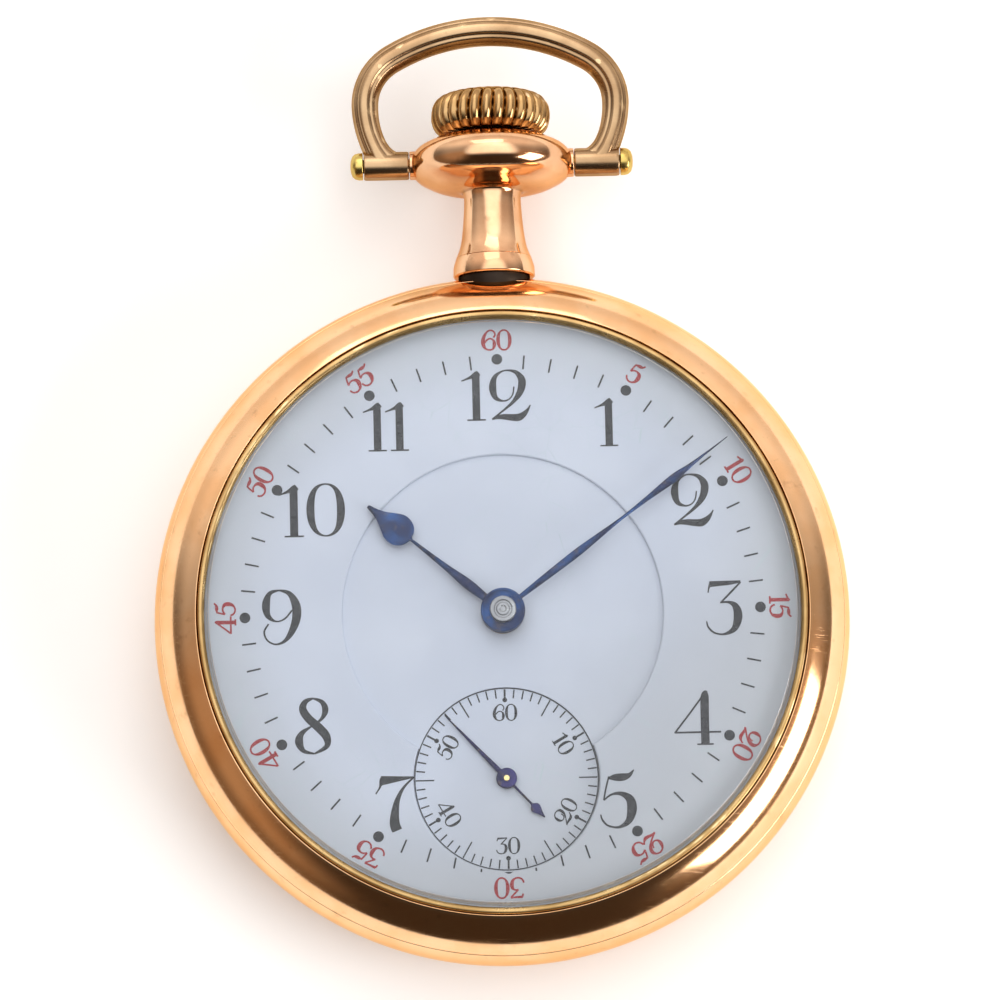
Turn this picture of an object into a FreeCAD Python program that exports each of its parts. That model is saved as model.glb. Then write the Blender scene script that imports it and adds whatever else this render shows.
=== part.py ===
import FreeCAD, Part
import math
import os

# Open face pocket watch, lying on its back. Millimetres.
# +Z runs out of the dial, +Y towards the pendant and twelve o'clock, +X towards three o'clock.
# The origin is the middle of the flat spot of the back that the watch rests on.

# ---- case ----
CASE_R = 25.2               # widest radius of the closed case
BACK_FLAT_R = 12.0          # flat resting spot of the back
BACK_DOME_R = 20.5          # where the shallow dome meets the rounded edge
BACK_DOME_RISE = 0.7        # rise of the dome from the flat spot to that radius
BACK_WALL = 0.65
BEZEL_ARC = 4.8             # radius of the bezel's rounded section
THREAD_R = 22.9             # screw threads of bezel and back
THREAD_FIT = 0.05           # radial clearance in the threads
CASE_BORE_R = 21.65         # bore that holds the movement
CASE_GAP = 0.08             # gap between a screwed part and its shoulder
BACK_EDGE_Z = 4.2
BEZEL_EDGE_Z = 8.4
GLASS_R = 21.8
GLASS_OPENING_R = 21.5
GLASS_SEAT_Z = 9.95
GLASS_EDGE = 0.26           # thickness of the glass where the bezel holds it
GLASS_TOP_Z = 13.1
GLASS_THICKNESS = 0.55
GLASS_SHOULDER_R = 21.3     # where the low dome turns down to the bevelled edge
GLASS_SHOULDER_Z = 11.55
GLASS_SHOULDER = 0.43       # thickness of the glass there
LIP_GROOVE_R = 22.1         # narrow groove between the bezel's round and its lip
LIP_R = 21.95               # outer edge of the lip
LIP_CREST_R = 21.73

# The dome's radius follows from its rise, and the rounded edge is tangent to both dome and side.
DOME_SPAN = BACK_DOME_R - BACK_FLAT_R
DOME_ARC = (DOME_SPAN**2 + BACK_DOME_RISE**2) / (2 * BACK_DOME_RISE)
DOME_SLOPE = math.asin(DOME_SPAN / DOME_ARC)
EDGE_ARC = (CASE_R - BACK_DOME_R) / (1 - math.sin(DOME_SLOPE))
EDGE_CENTRE_R = CASE_R - EDGE_ARC
MID_Z = BACK_DOME_RISE + EDGE_ARC * math.cos(DOME_SLOPE)   # widest plane, and the pendant's axis
BEZEL_CENTRE_R = CASE_R - BEZEL_ARC

# ---- pendant, bow and crown ----
PENDANT_ROOT_R = 1.9
PENDANT_ROOT_Y = 23.6
NECK_TOP_Y = 33.0
NECK_PROFILE = [(2.95, 25.5), (2.93, 26.05), (2.72, 26.7), (2.4, 27.4), (2.3, 28.2), (2.15, 29.6),
                (2.0, 31.3)]
BOW_AXIS_Y = 33.8
BALL_R = 5.93               # the pendant's head, turned about the same axis as its neck
BALL_SHOULDER = (5.35, 1.2)     # (radius, distance from the middle) where its rounded belt ends
BALL_FACE = (4.1, 1.8)          # a point on its sloping faces
BALL_TOP = (2.05, 2.1)          # where those faces end
NECK_BORE_R = 1.45
BARREL_R = 0.98
BARREL_INNER_X = 6.05
BARREL_OUTER_X = 9.35
SCREW_END_X = 10.35
SCREW_R = 0.5
BOW_WIRE_R = 0.98
BOW_SIDE_X = 9.18           # centre line of the bow at its widest
BOW_SIDE_Y = 38.3
BOW_TOP_Y = 43.85
BOW_CORNER_ARC = 4.2
BOW_LEG_ARC = 7.7
CROWN_R = 4.35
CROWN_Y0 = 35.95
CROWN_Y1 = 39.05
CROWN_FLUTES = 28
CROWN_FLUTE_R = 0.3
CROWN_HOLLOW_R = 2.7
CROWN_HOLLOW_Y = 36.75
CROWN_PROFILE = [(3.75, CROWN_Y0), (4.15, 36.5), (CROWN_R, 37.1), (CROWN_R, 37.7), (4.2, 38.2), (3.8, 38.65),
                 (3.2, 38.9), (1.6, 39.02)]
STEM_R = 0.6
STEM_END_Y = 37.6

# ---- movement levels along Z ----
BRIDGE_Z0 = 2.0             # back face of the bridges
BRIDGE_Z1 = 3.2
PLATE_Z0 = 6.1
PLATE_Z1 = 7.75
DIAL_Z = 9.7                # enamel surface of the outer ring
DIAL_THICKNESS = 0.8
CENTRE_SINK = 0.25
SECONDS_SINK = 0.45
PLATE_R = 21.59
BRIDGE_R = 21.3
FOOT_R = 19.0               # inner radius of the bridges' feet
COCK_Z0 = 1.15
COCK_Z1 = 1.8
COCK_R = 18.5               # the cock stops short of the back's rounded edge
COCK_SINK_Z = 1.45          # floor of the hole that its screw head sits in
WINDING_Z0 = 1.56           # ratchet wheel, crown wheel and click
WINDING_Z1 = 1.92

# ---- dial and hands ----
DIAL_R = 21.75
DIAL_CENTRE_R = 11.55
SECONDS_R = 6.68
HOUR_ANGLE = 309.5          # clockwise from twelve
MINUTE_ANGLE = 53.2
SECONDS_ANGLE = 317.0
# Levels of a hand along Z: blade bottom and top, then hub bottom and top.
SECONDS_LEVELS = (9.55, 9.63, 9.45, 9.8)
HOUR_LEVELS = (10.2, 10.35, 10.15, 10.45)
MINUTE_LEVELS = (10.75, 10.9, 10.65, 11.05)
HAND_HUB_R = 1.6
SECONDS_HUB_R = 0.75
SECONDS_BORE_R = 0.2
HOUR_PIPE_R = 1.25
CANNON_PIPE_R = 0.85
CANNON_CAP_R = 0.95
CANNON_CAP_Z = 11.53
CENTRE_TOP_Z = 11.4
# Half widths of a hand: (distance from its pivot, half width).
HOUR_BLADE = [(0.0, 0.3), (1.8, 0.3), (3.24, 0.38), (5.0, 0.22), (8.3, 0.12), (8.5, 0.45), (8.8, 0.83),
              (9.2, 1.06), (9.66, 1.15), (10.1, 1.06), (10.6, 0.78), (11.1, 0.48), (11.6, 0.28),
              (12.1, 0.17), (12.4, 0.11)]
MINUTE_BLADE = [(0.0, 0.2), (1.8, 0.2), (5.0, 0.27), (6.8, 0.29), (8.5, 0.24), (10.9, 0.12), (13.5, 0.2),
                (15.6, 0.3), (17.0, 0.2), (18.6, 0.1), (20.7, 0.03)]
SECONDS_BLADE = [(0.0, 0.19), (1.5, 0.17), (4.0, 0.1), (6.4, 0.03)]
SECONDS_TAIL = [(-3.95, 0.03), (-3.4, 0.2), (-2.97, 0.38), (-2.65, 0.2), (-2.5, 0.08), (-1.0, 0.08)]

# ---- train: teeth and modules ----
BARREL_TEETH, CENTRE_LEAVES, BARREL_MODULE = 78, 12, 0.22
CENTRE_TEETH, THIRD_LEAVES, CENTRE_MODULE = 80, 10, 0.16
THIRD_TEETH, FOURTH_LEAVES, THIRD_MODULE = 75, 10, 0.13
FOURTH_TEETH, ESCAPE_LEAVES, FOURTH_MODULE = 80, 8, 0.115
CANNON_LEAVES, MINUTE_TEETH, CANNON_MODULE = 12, 36, 0.2
MINUTE_LEAVES, HOUR_TEETH, HOUR_MODULE = 10, 40, 0.192
RATCHET_TEETH, CROWN_WHEEL_TEETH, WINDING_MODULE = 54, 37, 0.25
WINDING_LEAVES, CONTRATE_TEETH, CONTRATE_R = 18, 24, 2.9
ESCAPE_TEETH, ESCAPE_R = 15, 3.6
PALLET_CLEARANCE = 0.12     # the stones stay this far outside the circle of the escape wheel's teeth
BALANCE_RIM_R = 6.9
BALANCE_SCREW_COUNT = 16
HAIRSPRING_R = 3.1
CLICK_ANGLE = 115           # from the barrel's centre to the click's post
CLICK_REACH = 8.3


def polar(radius, degrees, at=(0, 0)):
    angle = math.radians(degrees)
    return (at[0] + radius * math.cos(angle), at[1] + radius * math.sin(angle))


def direction(start, end):
    return math.degrees(math.atan2(end[1] - start[1], end[0] - start[0]))


def pitch_sum(teeth_a, teeth_b, module):
    return module * (teeth_a + teeth_b) / 2


def third_point(a, b, from_a, from_b, side):
    """The point at two given distances from a and b, on the left (1) or right (-1) of the way a to b."""
    span = math.dist(a, b)
    along = (from_a**2 - from_b**2 + span**2) / (2 * span)
    across = side * math.sqrt(from_a**2 - along**2)
    ux, uy = (b[0] - a[0]) / span, (b[1] - a[1]) / span
    return (a[0] + along * ux - across * uy, a[1] + along * uy + across * ux)


CENTRE = (0.0, 0.0)
FOURTH = (0.0, -12.05)
BALANCE = (10.3, -7.0)
BARREL = polar(pitch_sum(BARREL_TEETH, CENTRE_LEAVES, BARREL_MODULE), 150)
THIRD = third_point(CENTRE, FOURTH, pitch_sum(CENTRE_TEETH, THIRD_LEAVES, CENTRE_MODULE),
                    pitch_sum(THIRD_TEETH, FOURTH_LEAVES, THIRD_MODULE), -1)
PALLET_REACH = ESCAPE_R / math.cos(math.radians(30))
FORK_REACH = 4.2
ESCAPE = third_point(FOURTH, BALANCE, pitch_sum(FOURTH_TEETH, ESCAPE_LEAVES, FOURTH_MODULE),
                     PALLET_REACH + FORK_REACH, -1)
LEVER_ANGLE = direction(ESCAPE, BALANCE)
PALLET = polar(PALLET_REACH, LEVER_ANGLE, ESCAPE)
MINUTE_POST = (0.0, pitch_sum(CANNON_LEAVES, MINUTE_TEETH, CANNON_MODULE))
WINDING_SPAN = pitch_sum(RATCHET_TEETH, CROWN_WHEEL_TEETH, WINDING_MODULE)
CROWN_WHEEL = (0.0, BARREL[1] + math.sqrt(WINDING_SPAN**2 - BARREL[0]**2))
WINDING_Y = CROWN_WHEEL[1] + CONTRATE_R
CONTRATE_PITCH = 2 * math.pi * CONTRATE_R / CONTRATE_TEETH
WINDING_PITCH_R = WINDING_LEAVES * CONTRATE_PITCH / (2 * math.pi)
WINDING_TIP_R = WINDING_PITCH_R + 0.16
WINDING_ROOT_R = WINDING_PITCH_R - 0.24
CONTRATE_TIP_Z = MID_Z - WINDING_ROOT_R - 0.06
CONTRATE_ROOT_Z = MID_Z - WINDING_TIP_R - 0.06
STUD_ANGLE = LEVER_ANGLE + 60
STUD = polar(HAIRSPRING_R + 0.05, STUD_ANGLE, BALANCE)
CLICK_POST = polar(CLICK_REACH, CLICK_ANGLE, BARREL)

BRIDGE_SCREWS = [polar(20.15, angle) for angle in (30, 75, 115, 170, 190, 240, 280)]
CASE_SCREWS = [polar(20.6, angle) for angle in (55, 215)]
COCK_SCREW = (15.0, 4.0)
DIAL_FEET = [polar(18.4, angle) for angle in (42, 138, 250)]
PALLET_FEET = [polar(3.6, LEVER_ANGLE + side * 90, PALLET) for side in (-1, 1)]

parts = {}


# ---- shapes ----
def disc(radius, z0, z1, at=(0, 0)):
    return Part.makeCylinder(radius, z1 - z0, FreeCAD.Vector(at[0], at[1], z0))


def ring(outer, inner, z0, z1, at=(0, 0)):
    return disc(outer, z0, z1, at).cut(disc(inner, z0 - 1, z1 + 1, at))


def box(x0, x1, y0, y1, z0, z1):
    return Part.makeBox(x1 - x0, y1 - y0, z1 - z0, FreeCAD.Vector(x0, y0, z0))


def outline_wire(points, z):
    vectors = [FreeCAD.Vector(x, y, z) for x, y in points]
    return Part.makePolygon(vectors + vectors[:1])


def prism(points, z0, z1, holes=()):
    """An outline, less the outlines in holes, raised from z0 to z1."""
    wires = [outline_wire(points, z0)] + [outline_wire(hole, z0) for hole in holes]
    face = Part.makeFace(wires, "Part::FaceMakerBullseye")
    return face.extrude(FreeCAD.Vector(0, 0, z1 - z0))


def arc_edge(start, middle, end):
    points = [FreeCAD.Vector(r, 0, z) for r, z in (start, middle, end)]
    return Part.Arc(*points).toShape()


def cap_edge(top, rim):
    """The arc from a top on the axis down to a rim, as part of a ball centred on the axis."""
    sag = top[1] - rim[1]
    radius = (rim[0]**2 + sag**2) / (2 * sag)
    half = math.asin(rim[0] / radius) / 2
    middle = (radius * math.sin(half), top[1] - radius + radius * math.cos(half))
    return arc_edge(top, middle, rim)


def line_edge(start, end):
    return Part.makeLine(FreeCAD.Vector(start[0], 0, start[1]), FreeCAD.Vector(end[0], 0, end[1]))


def turned_edges(edges):
    """A closed section of edges in radius and height, turned about the Z axis."""
    face = Part.Face(Part.Wire(edges))
    return face.revolve(FreeCAD.Vector(0, 0, 0), FreeCAD.Vector(0, 0, 1), 360)


def turned(points, at=(0, 0)):
    edges = [line_edge(a, b) for a, b in zip(points, points[1:] + points[:1])]
    solid = turned_edges(edges)
    solid.translate(FreeCAD.Vector(at[0], at[1], 0))
    return solid


def shaft(steps, at):
    """A stepped round shaft: each step is (z0, z1, radius), and each starts where the last one ended."""
    points = [(0, steps[0][0])]
    for z0, z1, radius in steps:
        points += [(radius, z0), (radius, z1)]
    return turned(points + [(0, steps[-1][1])], at)


def to_pendant(solid):
    """Turn a shape made about Z so that its own Z runs out along the pendant's axis."""
    solid.rotate(FreeCAD.Vector(0, 0, 0), FreeCAD.Vector(1, 0, 0), -90)
    solid.translate(FreeCAD.Vector(0, 0, MID_Z))
    return solid


def along_x(radius, x0, x1, y, z):
    return Part.makeCylinder(radius, x1 - x0, FreeCAD.Vector(x0, y, z), FreeCAD.Vector(1, 0, 0))


def on_arc(centre, radius, degrees):
    return polar(radius, degrees, centre)


# ---- toothed wheels ----
def tooth_outline(teeth, module, first, at=(0, 0), root=0.27, tip=0.12, rise=0.7, depth=0.95):
    """Straight-flanked teeth. first is the angle of one tooth; root and tip are half widths in pitches."""
    pitch = 360 / teeth
    tip_r = module * (teeth / 2 + rise)
    root_r = module * (teeth / 2 - depth)
    points = []
    for number in range(teeth):
        middle = first + number * pitch
        points += [polar(root_r, middle - root * pitch, at), polar(tip_r, middle - tip * pitch, at),
                   polar(tip_r, middle + tip * pitch, at), polar(root_r, middle + root * pitch, at)]
    return points


def arm_windows(count, hub_r, rim_r, arm_half, at, first=0.0, steps=6):
    """The openings between a wheel's arms, as outlines."""
    windows = []
    for number in range(count):
        start = first + number * 360 / count
        end = start + 360 / count
        outline = []
        for radius, run in ((rim_r, 1), (hub_r, -1)):
            margin = math.degrees(math.asin(arm_half / radius))
            low, high = start + margin, end - margin
            angles = [low + (high - low) * step / steps for step in range(steps + 1)]
            outline += [polar(radius, angle, at) for angle in angles[::run]]
        windows.append(outline)
    return windows


def round_outline(radius, at, steps=40):
    return [polar(radius, 360 * step / steps, at) for step in range(steps)]


def armed_wheel(teeth, module, first, at, z0, z1, bore, hub_r, rim, arms=5, arm_half=0.3):
    """A toothed wheel with arms; rim is the width of metal inside the teeth's roots."""
    rim_r = module * (teeth / 2 - 0.95) - rim
    windows = arm_windows(arms, hub_r, rim_r, arm_half, at, first)
    wheel = prism(tooth_outline(teeth, module, first, at), z0, z1, windows)
    return wheel.cut(disc(bore, z0 - 1, z1 + 1, at))


def pinion(leaves, module, first, at, z0, z1):
    return prism(tooth_outline(leaves, module, first, at, root=0.25, tip=0.11), z0, z1)


def gap_at(teeth, angle):
    """The angle of the first tooth of a wheel that has a gap at the given angle."""
    return angle + 180 / teeth


def coil(at, inner_r, outer_r, turns, thickness, z0, z1, steps=20):
    """A flat spiral spring of straight chords."""
    count = int(turns * steps)
    inner, outer = [], []
    for step in range(count + 1):
        radius = inner_r + (outer_r - inner_r) * step / count
        angle = 360 * step / steps
        inner.append(polar(radius - thickness / 2, angle, at))
        outer.append(polar(radius + thickness / 2, angle, at))
    return prism(outer + inner[::-1], z0, z1)


# ---- case ----
def case_back():
    """A shallow dish: flat spot, low dome and rounded edge, hollow inside, with a threaded bore."""
    slope = math.degrees(DOME_SLOPE)
    edge_centre = (EDGE_CENTRE_R, MID_Z)
    inner_arc = EDGE_ARC - BACK_WALL
    dome_centre = (BACK_FLAT_R, DOME_ARC)
    rim_angle = -math.degrees(math.asin((MID_Z - BACK_EDGE_Z) / EDGE_ARC))
    bore_r = THREAD_R + THREAD_FIT
    bore_angle = -math.degrees(math.acos((bore_r - EDGE_CENTRE_R) / inner_arc))
    dome_end = on_arc(edge_centre, EDGE_ARC, slope - 90)
    inner_dome_end = on_arc(edge_centre, inner_arc, slope - 90)
    rim = on_arc(edge_centre, EDGE_ARC, rim_angle)
    bore_low = on_arc(edge_centre, inner_arc, bore_angle)
    return turned_edges([
        line_edge((0, 0), (BACK_FLAT_R, 0)),
        arc_edge((BACK_FLAT_R, 0), on_arc(dome_centre, DOME_ARC, slope / 2 - 90), dome_end),
        arc_edge(dome_end, on_arc(edge_centre, EDGE_ARC, (slope - 90 + rim_angle) / 2), rim),
        line_edge(rim, (bore_r, BACK_EDGE_Z)),
        line_edge((bore_r, BACK_EDGE_Z), bore_low),
        arc_edge(bore_low, on_arc(edge_centre, inner_arc, (slope - 90 + bore_angle) / 2), inner_dome_end),
        arc_edge(inner_dome_end, on_arc(dome_centre, DOME_ARC - BACK_WALL, slope / 2 - 90),
                 (BACK_FLAT_R, BACK_WALL)),
        line_edge((BACK_FLAT_R, BACK_WALL), (0, BACK_WALL)),
        line_edge((0, BACK_WALL), (0, 0)),
    ])


def case_middle():
    """The band between bezel and back, with a thread up and down, the dial's seat and the pendant's hole."""
    low = BACK_EDGE_Z + CASE_GAP
    high = BEZEL_EDGE_Z - CASE_GAP
    low_r = EDGE_CENTRE_R + math.sqrt(EDGE_ARC**2 - (MID_Z - low)**2)
    high_r = BEZEL_CENTRE_R + math.sqrt(BEZEL_ARC**2 - (high - MID_Z)**2)
    low_angle = -math.degrees(math.asin((MID_Z - low) / EDGE_ARC))
    high_angle = math.degrees(math.asin((high - MID_Z) / BEZEL_ARC))
    bottom, top, dial_seat = 3.0, DIAL_Z - 0.1, DIAL_Z - DIAL_THICKNESS
    dial_bore = DIAL_R + 0.1
    corners = [(high_r, high), (THREAD_R, high), (THREAD_R, top), (dial_bore, top), (dial_bore, dial_seat),
               (CASE_BORE_R, dial_seat), (CASE_BORE_R, bottom), (THREAD_R, bottom), (THREAD_R, low),
               (low_r, low)]
    edges = [line_edge(a, b) for a, b in zip(corners, corners[1:])]
    edges.append(arc_edge((low_r, low), on_arc((EDGE_CENTRE_R, MID_Z), EDGE_ARC, low_angle / 2),
                          (CASE_R, MID_Z)))
    edges.append(arc_edge((CASE_R, MID_Z), on_arc((BEZEL_CENTRE_R, MID_Z), BEZEL_ARC, high_angle / 2),
                          (high_r, high)))
    pendant_hole = to_pendant(disc(PENDANT_ROOT_R, 20, 30))
    return turned_edges(edges).cut(pendant_hole)


def bezel():
    """A rounded ring that screws on from the dial side, with a narrow lip and a groove for the glass."""
    centre = (BEZEL_CENTRE_R, MID_Z)
    edge_angle = math.degrees(math.asin((BEZEL_EDGE_Z - MID_Z) / BEZEL_ARC))
    groove_angle = math.degrees(math.acos((LIP_GROOVE_R - BEZEL_CENTRE_R) / BEZEL_ARC))
    edge = on_arc(centre, BEZEL_ARC, edge_angle)
    groove = on_arc(centre, BEZEL_ARC, groove_angle)
    bore_r = THREAD_R + THREAD_FIT
    underside = DIAL_Z + 0.08
    lip_z = groove[1]
    groove_top = GLASS_SEAT_Z + GLASS_EDGE + 0.04
    corners = [(GLASS_OPENING_R, lip_z - 0.1), (GLASS_OPENING_R, groove_top + 0.06), (GLASS_R, groove_top),
               (GLASS_R, GLASS_SEAT_Z), (GLASS_OPENING_R, GLASS_SEAT_Z), (GLASS_OPENING_R, underside),
               (bore_r, underside), (bore_r, BEZEL_EDGE_Z), edge]
    edges = [line_edge(a, b) for a, b in zip(corners, corners[1:])]
    edges.append(arc_edge(edge, on_arc(centre, BEZEL_ARC, (edge_angle + groove_angle) / 2), groove))
    groove_floor = (LIP_R + 0.1, lip_z - 0.15)
    lip_edge = (LIP_R, lip_z - 0.05)
    edges.append(line_edge(groove, groove_floor))
    edges.append(line_edge(groove_floor, lip_edge))
    edges.append(arc_edge(lip_edge, (LIP_CREST_R, lip_z + 0.05), corners[0]))
    return turned_edges(edges)


def crystal():
    """A low domed glass whose edge sits in the bezel's groove."""
    inner_z = GLASS_SEAT_Z + 0.01
    edge_z = inner_z + GLASS_EDGE
    edge_r = GLASS_R - 0.02
    shoulder = (GLASS_SHOULDER_R, GLASS_SHOULDER_Z)
    inner_shoulder = (GLASS_SHOULDER_R - 0.15, GLASS_SHOULDER_Z - GLASS_SHOULDER)
    top = (0, GLASS_TOP_Z)
    inner_top = (0, GLASS_TOP_Z - GLASS_THICKNESS)
    return turned_edges([
        line_edge(inner_top, top),
        cap_edge(top, shoulder),
        line_edge(shoulder, (GLASS_OPENING_R - 0.03, edge_z)),
        line_edge((GLASS_OPENING_R - 0.03, edge_z), (edge_r, edge_z)),
        line_edge((edge_r, edge_z), (edge_r, inner_z)),
        line_edge((edge_r, inner_z), (GLASS_SHOULDER_R, inner_z)),
        line_edge((GLASS_SHOULDER_R, inner_z), inner_shoulder),
        cap_edge(inner_top, inner_shoulder),
    ])


# ---- pendant, bow, crown ----
def pendant():
    """The neck with its flared collar, and the flattened ball that the bow hangs on."""
    root = [(0, PENDANT_ROOT_Y), (PENDANT_ROOT_R, PENDANT_ROOT_Y),
            (PENDANT_ROOT_R, NECK_PROFILE[0][1] - 0.15)]
    neck = to_pendant(turned(root + NECK_PROFILE + [(NECK_PROFILE[-1][0], NECK_TOP_Y), (0, NECK_TOP_Y)]))
    low, high = [[(r, BOW_AXIS_Y + side * out) for r, out in (BALL_TOP, BALL_FACE, BALL_SHOULDER)]
                 for side in (-1, 1)]
    ball = to_pendant(turned_edges([
        line_edge((0, low[0][1]), low[0]), arc_edge(*low),
        arc_edge(low[2], (BALL_R, BOW_AXIS_Y), high[2]),
        arc_edge(*high[::-1]), line_edge(high[0], (0, high[0][1])),
        line_edge((0, high[0][1]), (0, low[0][1])),
    ]))
    bore = to_pendant(disc(NECK_BORE_R, 20, 40))
    body = neck.fuse(ball).cut(bore)
    for side in (-1, 1):
        body = body.cut(bow_screw_shank(side))
    return body


def bow_screw_shank(side):
    x0, x1 = sorted((side * 3.4, side * (BARREL_OUTER_X + 0.07)))
    return along_x(SCREW_R, x0, x1, BOW_AXIS_Y, MID_Z)


def bow_screw(side):
    """A shank through the bow's barrel into the pendant, with a domed head outside."""
    x0, x1 = sorted((side * (BARREL_OUTER_X + 0.07), side * SCREW_END_X))
    head = along_x(BARREL_R - 0.03, x0, x1, BOW_AXIS_Y, MID_Z)
    dome_r = 1.25
    dome = Part.makeSphere(dome_r, FreeCAD.Vector(side * (SCREW_END_X - dome_r), BOW_AXIS_Y, MID_Z))
    return head.common(dome).fuse(bow_screw_shank(side)).removeSplitter()


def bow_bend(centre, radius, start, end):
    """A length of round wire bent to a radius about centre, between two angles."""
    x, y = polar(radius, start, centre)
    across = FreeCAD.Vector(-math.sin(math.radians(start)), math.cos(math.radians(start)), 0)
    circle = Part.Circle(FreeCAD.Vector(x, y, MID_Z), across, BOW_WIRE_R)
    face = Part.Face(Part.Wire([circle.toShape()]))
    return face.revolve(FreeCAD.Vector(centre[0], centre[1], MID_Z), FreeCAD.Vector(0, 0, 1), end - start)


def bow():
    """A stirrup of five bends between two barrels that turn on the bow screws."""
    corner_x = BOW_SIDE_X - BOW_CORNER_ARC
    rise = BOW_TOP_Y - BOW_SIDE_Y - BOW_CORNER_ARC
    drop = (corner_x**2 - rise**2) / (2 * rise)
    top_centre = (0, BOW_SIDE_Y - drop)
    top_arc = BOW_TOP_Y - top_centre[1]
    meet = direction(top_centre, (corner_x, BOW_SIDE_Y))
    leg_drop = math.degrees(math.asin((BOW_SIDE_Y - BOW_AXIS_Y) / BOW_LEG_ARC))
    loop = bow_bend(top_centre, top_arc, meet, 180 - meet)
    for side in (1, -1):
        corner = (side * corner_x, BOW_SIDE_Y)
        leg = (side * (BOW_SIDE_X - BOW_LEG_ARC), BOW_SIDE_Y)
        if side == 1:
            loop = loop.fuse([bow_bend(corner, BOW_CORNER_ARC, 0, meet),
                              bow_bend(leg, BOW_LEG_ARC, -leg_drop, 0)])
        else:
            loop = loop.fuse([bow_bend(corner, BOW_CORNER_ARC, 180 - meet, 180),
                              bow_bend(leg, BOW_LEG_ARC, 180, 180 + leg_drop)])
        x0, x1 = sorted((side * BARREL_INNER_X, side * BARREL_OUTER_X))
        loop = loop.fuse(along_x(BARREL_R, x0, x1, BOW_AXIS_Y, MID_Z))
        loop = loop.cut(along_x(SCREW_R + 0.05, x0 - 1, x1 + 1, BOW_AXIS_Y, MID_Z))
    return loop.removeSplitter()


def crown():
    """A fluted knob, hollow underneath so that it sits down over the pendant's head."""
    body = turned([(STEM_R, CROWN_HOLLOW_Y), (CROWN_HOLLOW_R, CROWN_HOLLOW_Y), (CROWN_HOLLOW_R, CROWN_Y0)]
                  + CROWN_PROFILE + [(0, CROWN_Y1), (0, STEM_END_Y), (STEM_R, STEM_END_Y)])
    flutes = []
    for number in range(CROWN_FLUTES):
        at = polar(CROWN_R + 0.15, number * 360 / CROWN_FLUTES)
        flutes.append(disc(CROWN_FLUTE_R, CROWN_Y0 - 1, CROWN_Y1 + 1, at))
    return to_pendant(body.cut(Part.makeCompound(flutes)))


def stem():
    square = box(-0.4, 0.4, -0.4, 0.4, 15.6, 21.2)
    return to_pendant(square.fuse(disc(STEM_R, 21.2, STEM_END_Y)).removeSplitter())


def pendant_sleeve():
    return to_pendant(ring(NECK_BORE_R, STEM_R + 0.08, 26.5, 36.0))


# ---- dial and hands ----
def dial_ring():
    plate = disc(DIAL_R, DIAL_Z - DIAL_THICKNESS, DIAL_Z)
    plate = plate.cut(disc(DIAL_CENTRE_R, 5, 15))
    return plate.cut(disc(SECONDS_R, 5, 15, FOURTH))


def dial_centre():
    top = DIAL_Z - CENTRE_SINK
    plate = ring(DIAL_CENTRE_R, 1.45, top - 0.7, top)
    return plate.cut(disc(SECONDS_R, 5, 15, FOURTH))


def dial_seconds():
    top = DIAL_Z - SECONDS_SINK
    return ring(SECONDS_R, 0.45, top - 0.6, top, FOURTH)


def hand(half_widths, hub_r, bore, levels, angle, at=(0, 0)):
    """A flat hand: half_widths lists (distance from the pivot, half width) along the blade."""
    blade_z0, blade_z1, hub_z0, hub_z1 = levels
    outline = [(width, along) for along, width in half_widths]
    outline += [(-width, along) for along, width in half_widths[::-1]]
    blade = prism(outline, blade_z0, blade_z1).fuse(disc(hub_r, hub_z0, hub_z1)).cut(disc(bore, 0, 20))
    blade = blade.removeSplitter()
    blade.rotate(FreeCAD.Vector(0, 0, 0), FreeCAD.Vector(0, 0, 1), -angle)
    blade.translate(FreeCAD.Vector(at[0], at[1], 0))
    return blade


# ---- plates and bridges ----
def screw_holes(places, radius=0.5):
    return Part.makeCompound([disc(radius, 0, 9, place) for place in places])


def pillar_plate():
    dial_rest = ring(PLATE_R, 20.2, PLATE_Z1 - 0.3, DIAL_Z - DIAL_THICKNESS)
    plate = disc(PLATE_R, PLATE_Z0, PLATE_Z1).fuse(dial_rest).cut(disc(0.8, 0, 20))
    plate = plate.cut(screw_holes([THIRD, FOURTH, ESCAPE, PALLET, BALANCE], 0.6))
    plate = plate.cut(disc(0.63, 0, 20, BARREL))
    plate = plate.cut(screw_holes(BRIDGE_SCREWS + CASE_SCREWS + [COCK_SCREW], 0.5))
    plate = plate.cut(screw_holes(PALLET_FEET, 0.3))
    plate = plate.cut(screw_holes(DIAL_FEET, 0.4))
    plate = plate.cut(screw_holes([MINUTE_POST, CROWN_WHEEL], 0.35))
    slot = box(-2.65, 2.65, WINDING_Y - 0.7, 20.3, 5, 10).fuse(box(-1.2, 1.2, 20.2, 23, 5, 10))
    return plate.cut(slot).removeSplitter()


def bridge(outline):
    """A bridge cut to an outline, standing on a curved foot along the edge of the movement."""
    top = disc(BRIDGE_R, BRIDGE_Z0, BRIDGE_Z1)
    foot = ring(BRIDGE_R, FOOT_R, BRIDGE_Z1 - 0.2, PLATE_Z0)
    body = top.fuse(foot).common(prism(outline, 0, 9))
    body = body.cut(screw_holes(BRIDGE_SCREWS + CASE_SCREWS, 0.5))
    for place in CASE_SCREWS:
        body = body.cut(disc(1.5, 0, 3.0, place))
    return body


def barrel_bridge():
    body = bridge([(-22, 2.6), (11.9, 2.6), (11.9, 8.1), (22, 8.1), (22, 22), (-22, 22)])
    body = body.cut(disc(1.04, 0, 9, BARREL)).cut(disc(3.4, 0, 9, CROWN_WHEEL))
    body = body.cut(disc(0.4, 0, 9, CLICK_POST))
    return body.cut(box(-2.65, 2.65, WINDING_Y - 0.7, 23, BRIDGE_Z1, 9)).removeSplitter()


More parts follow.
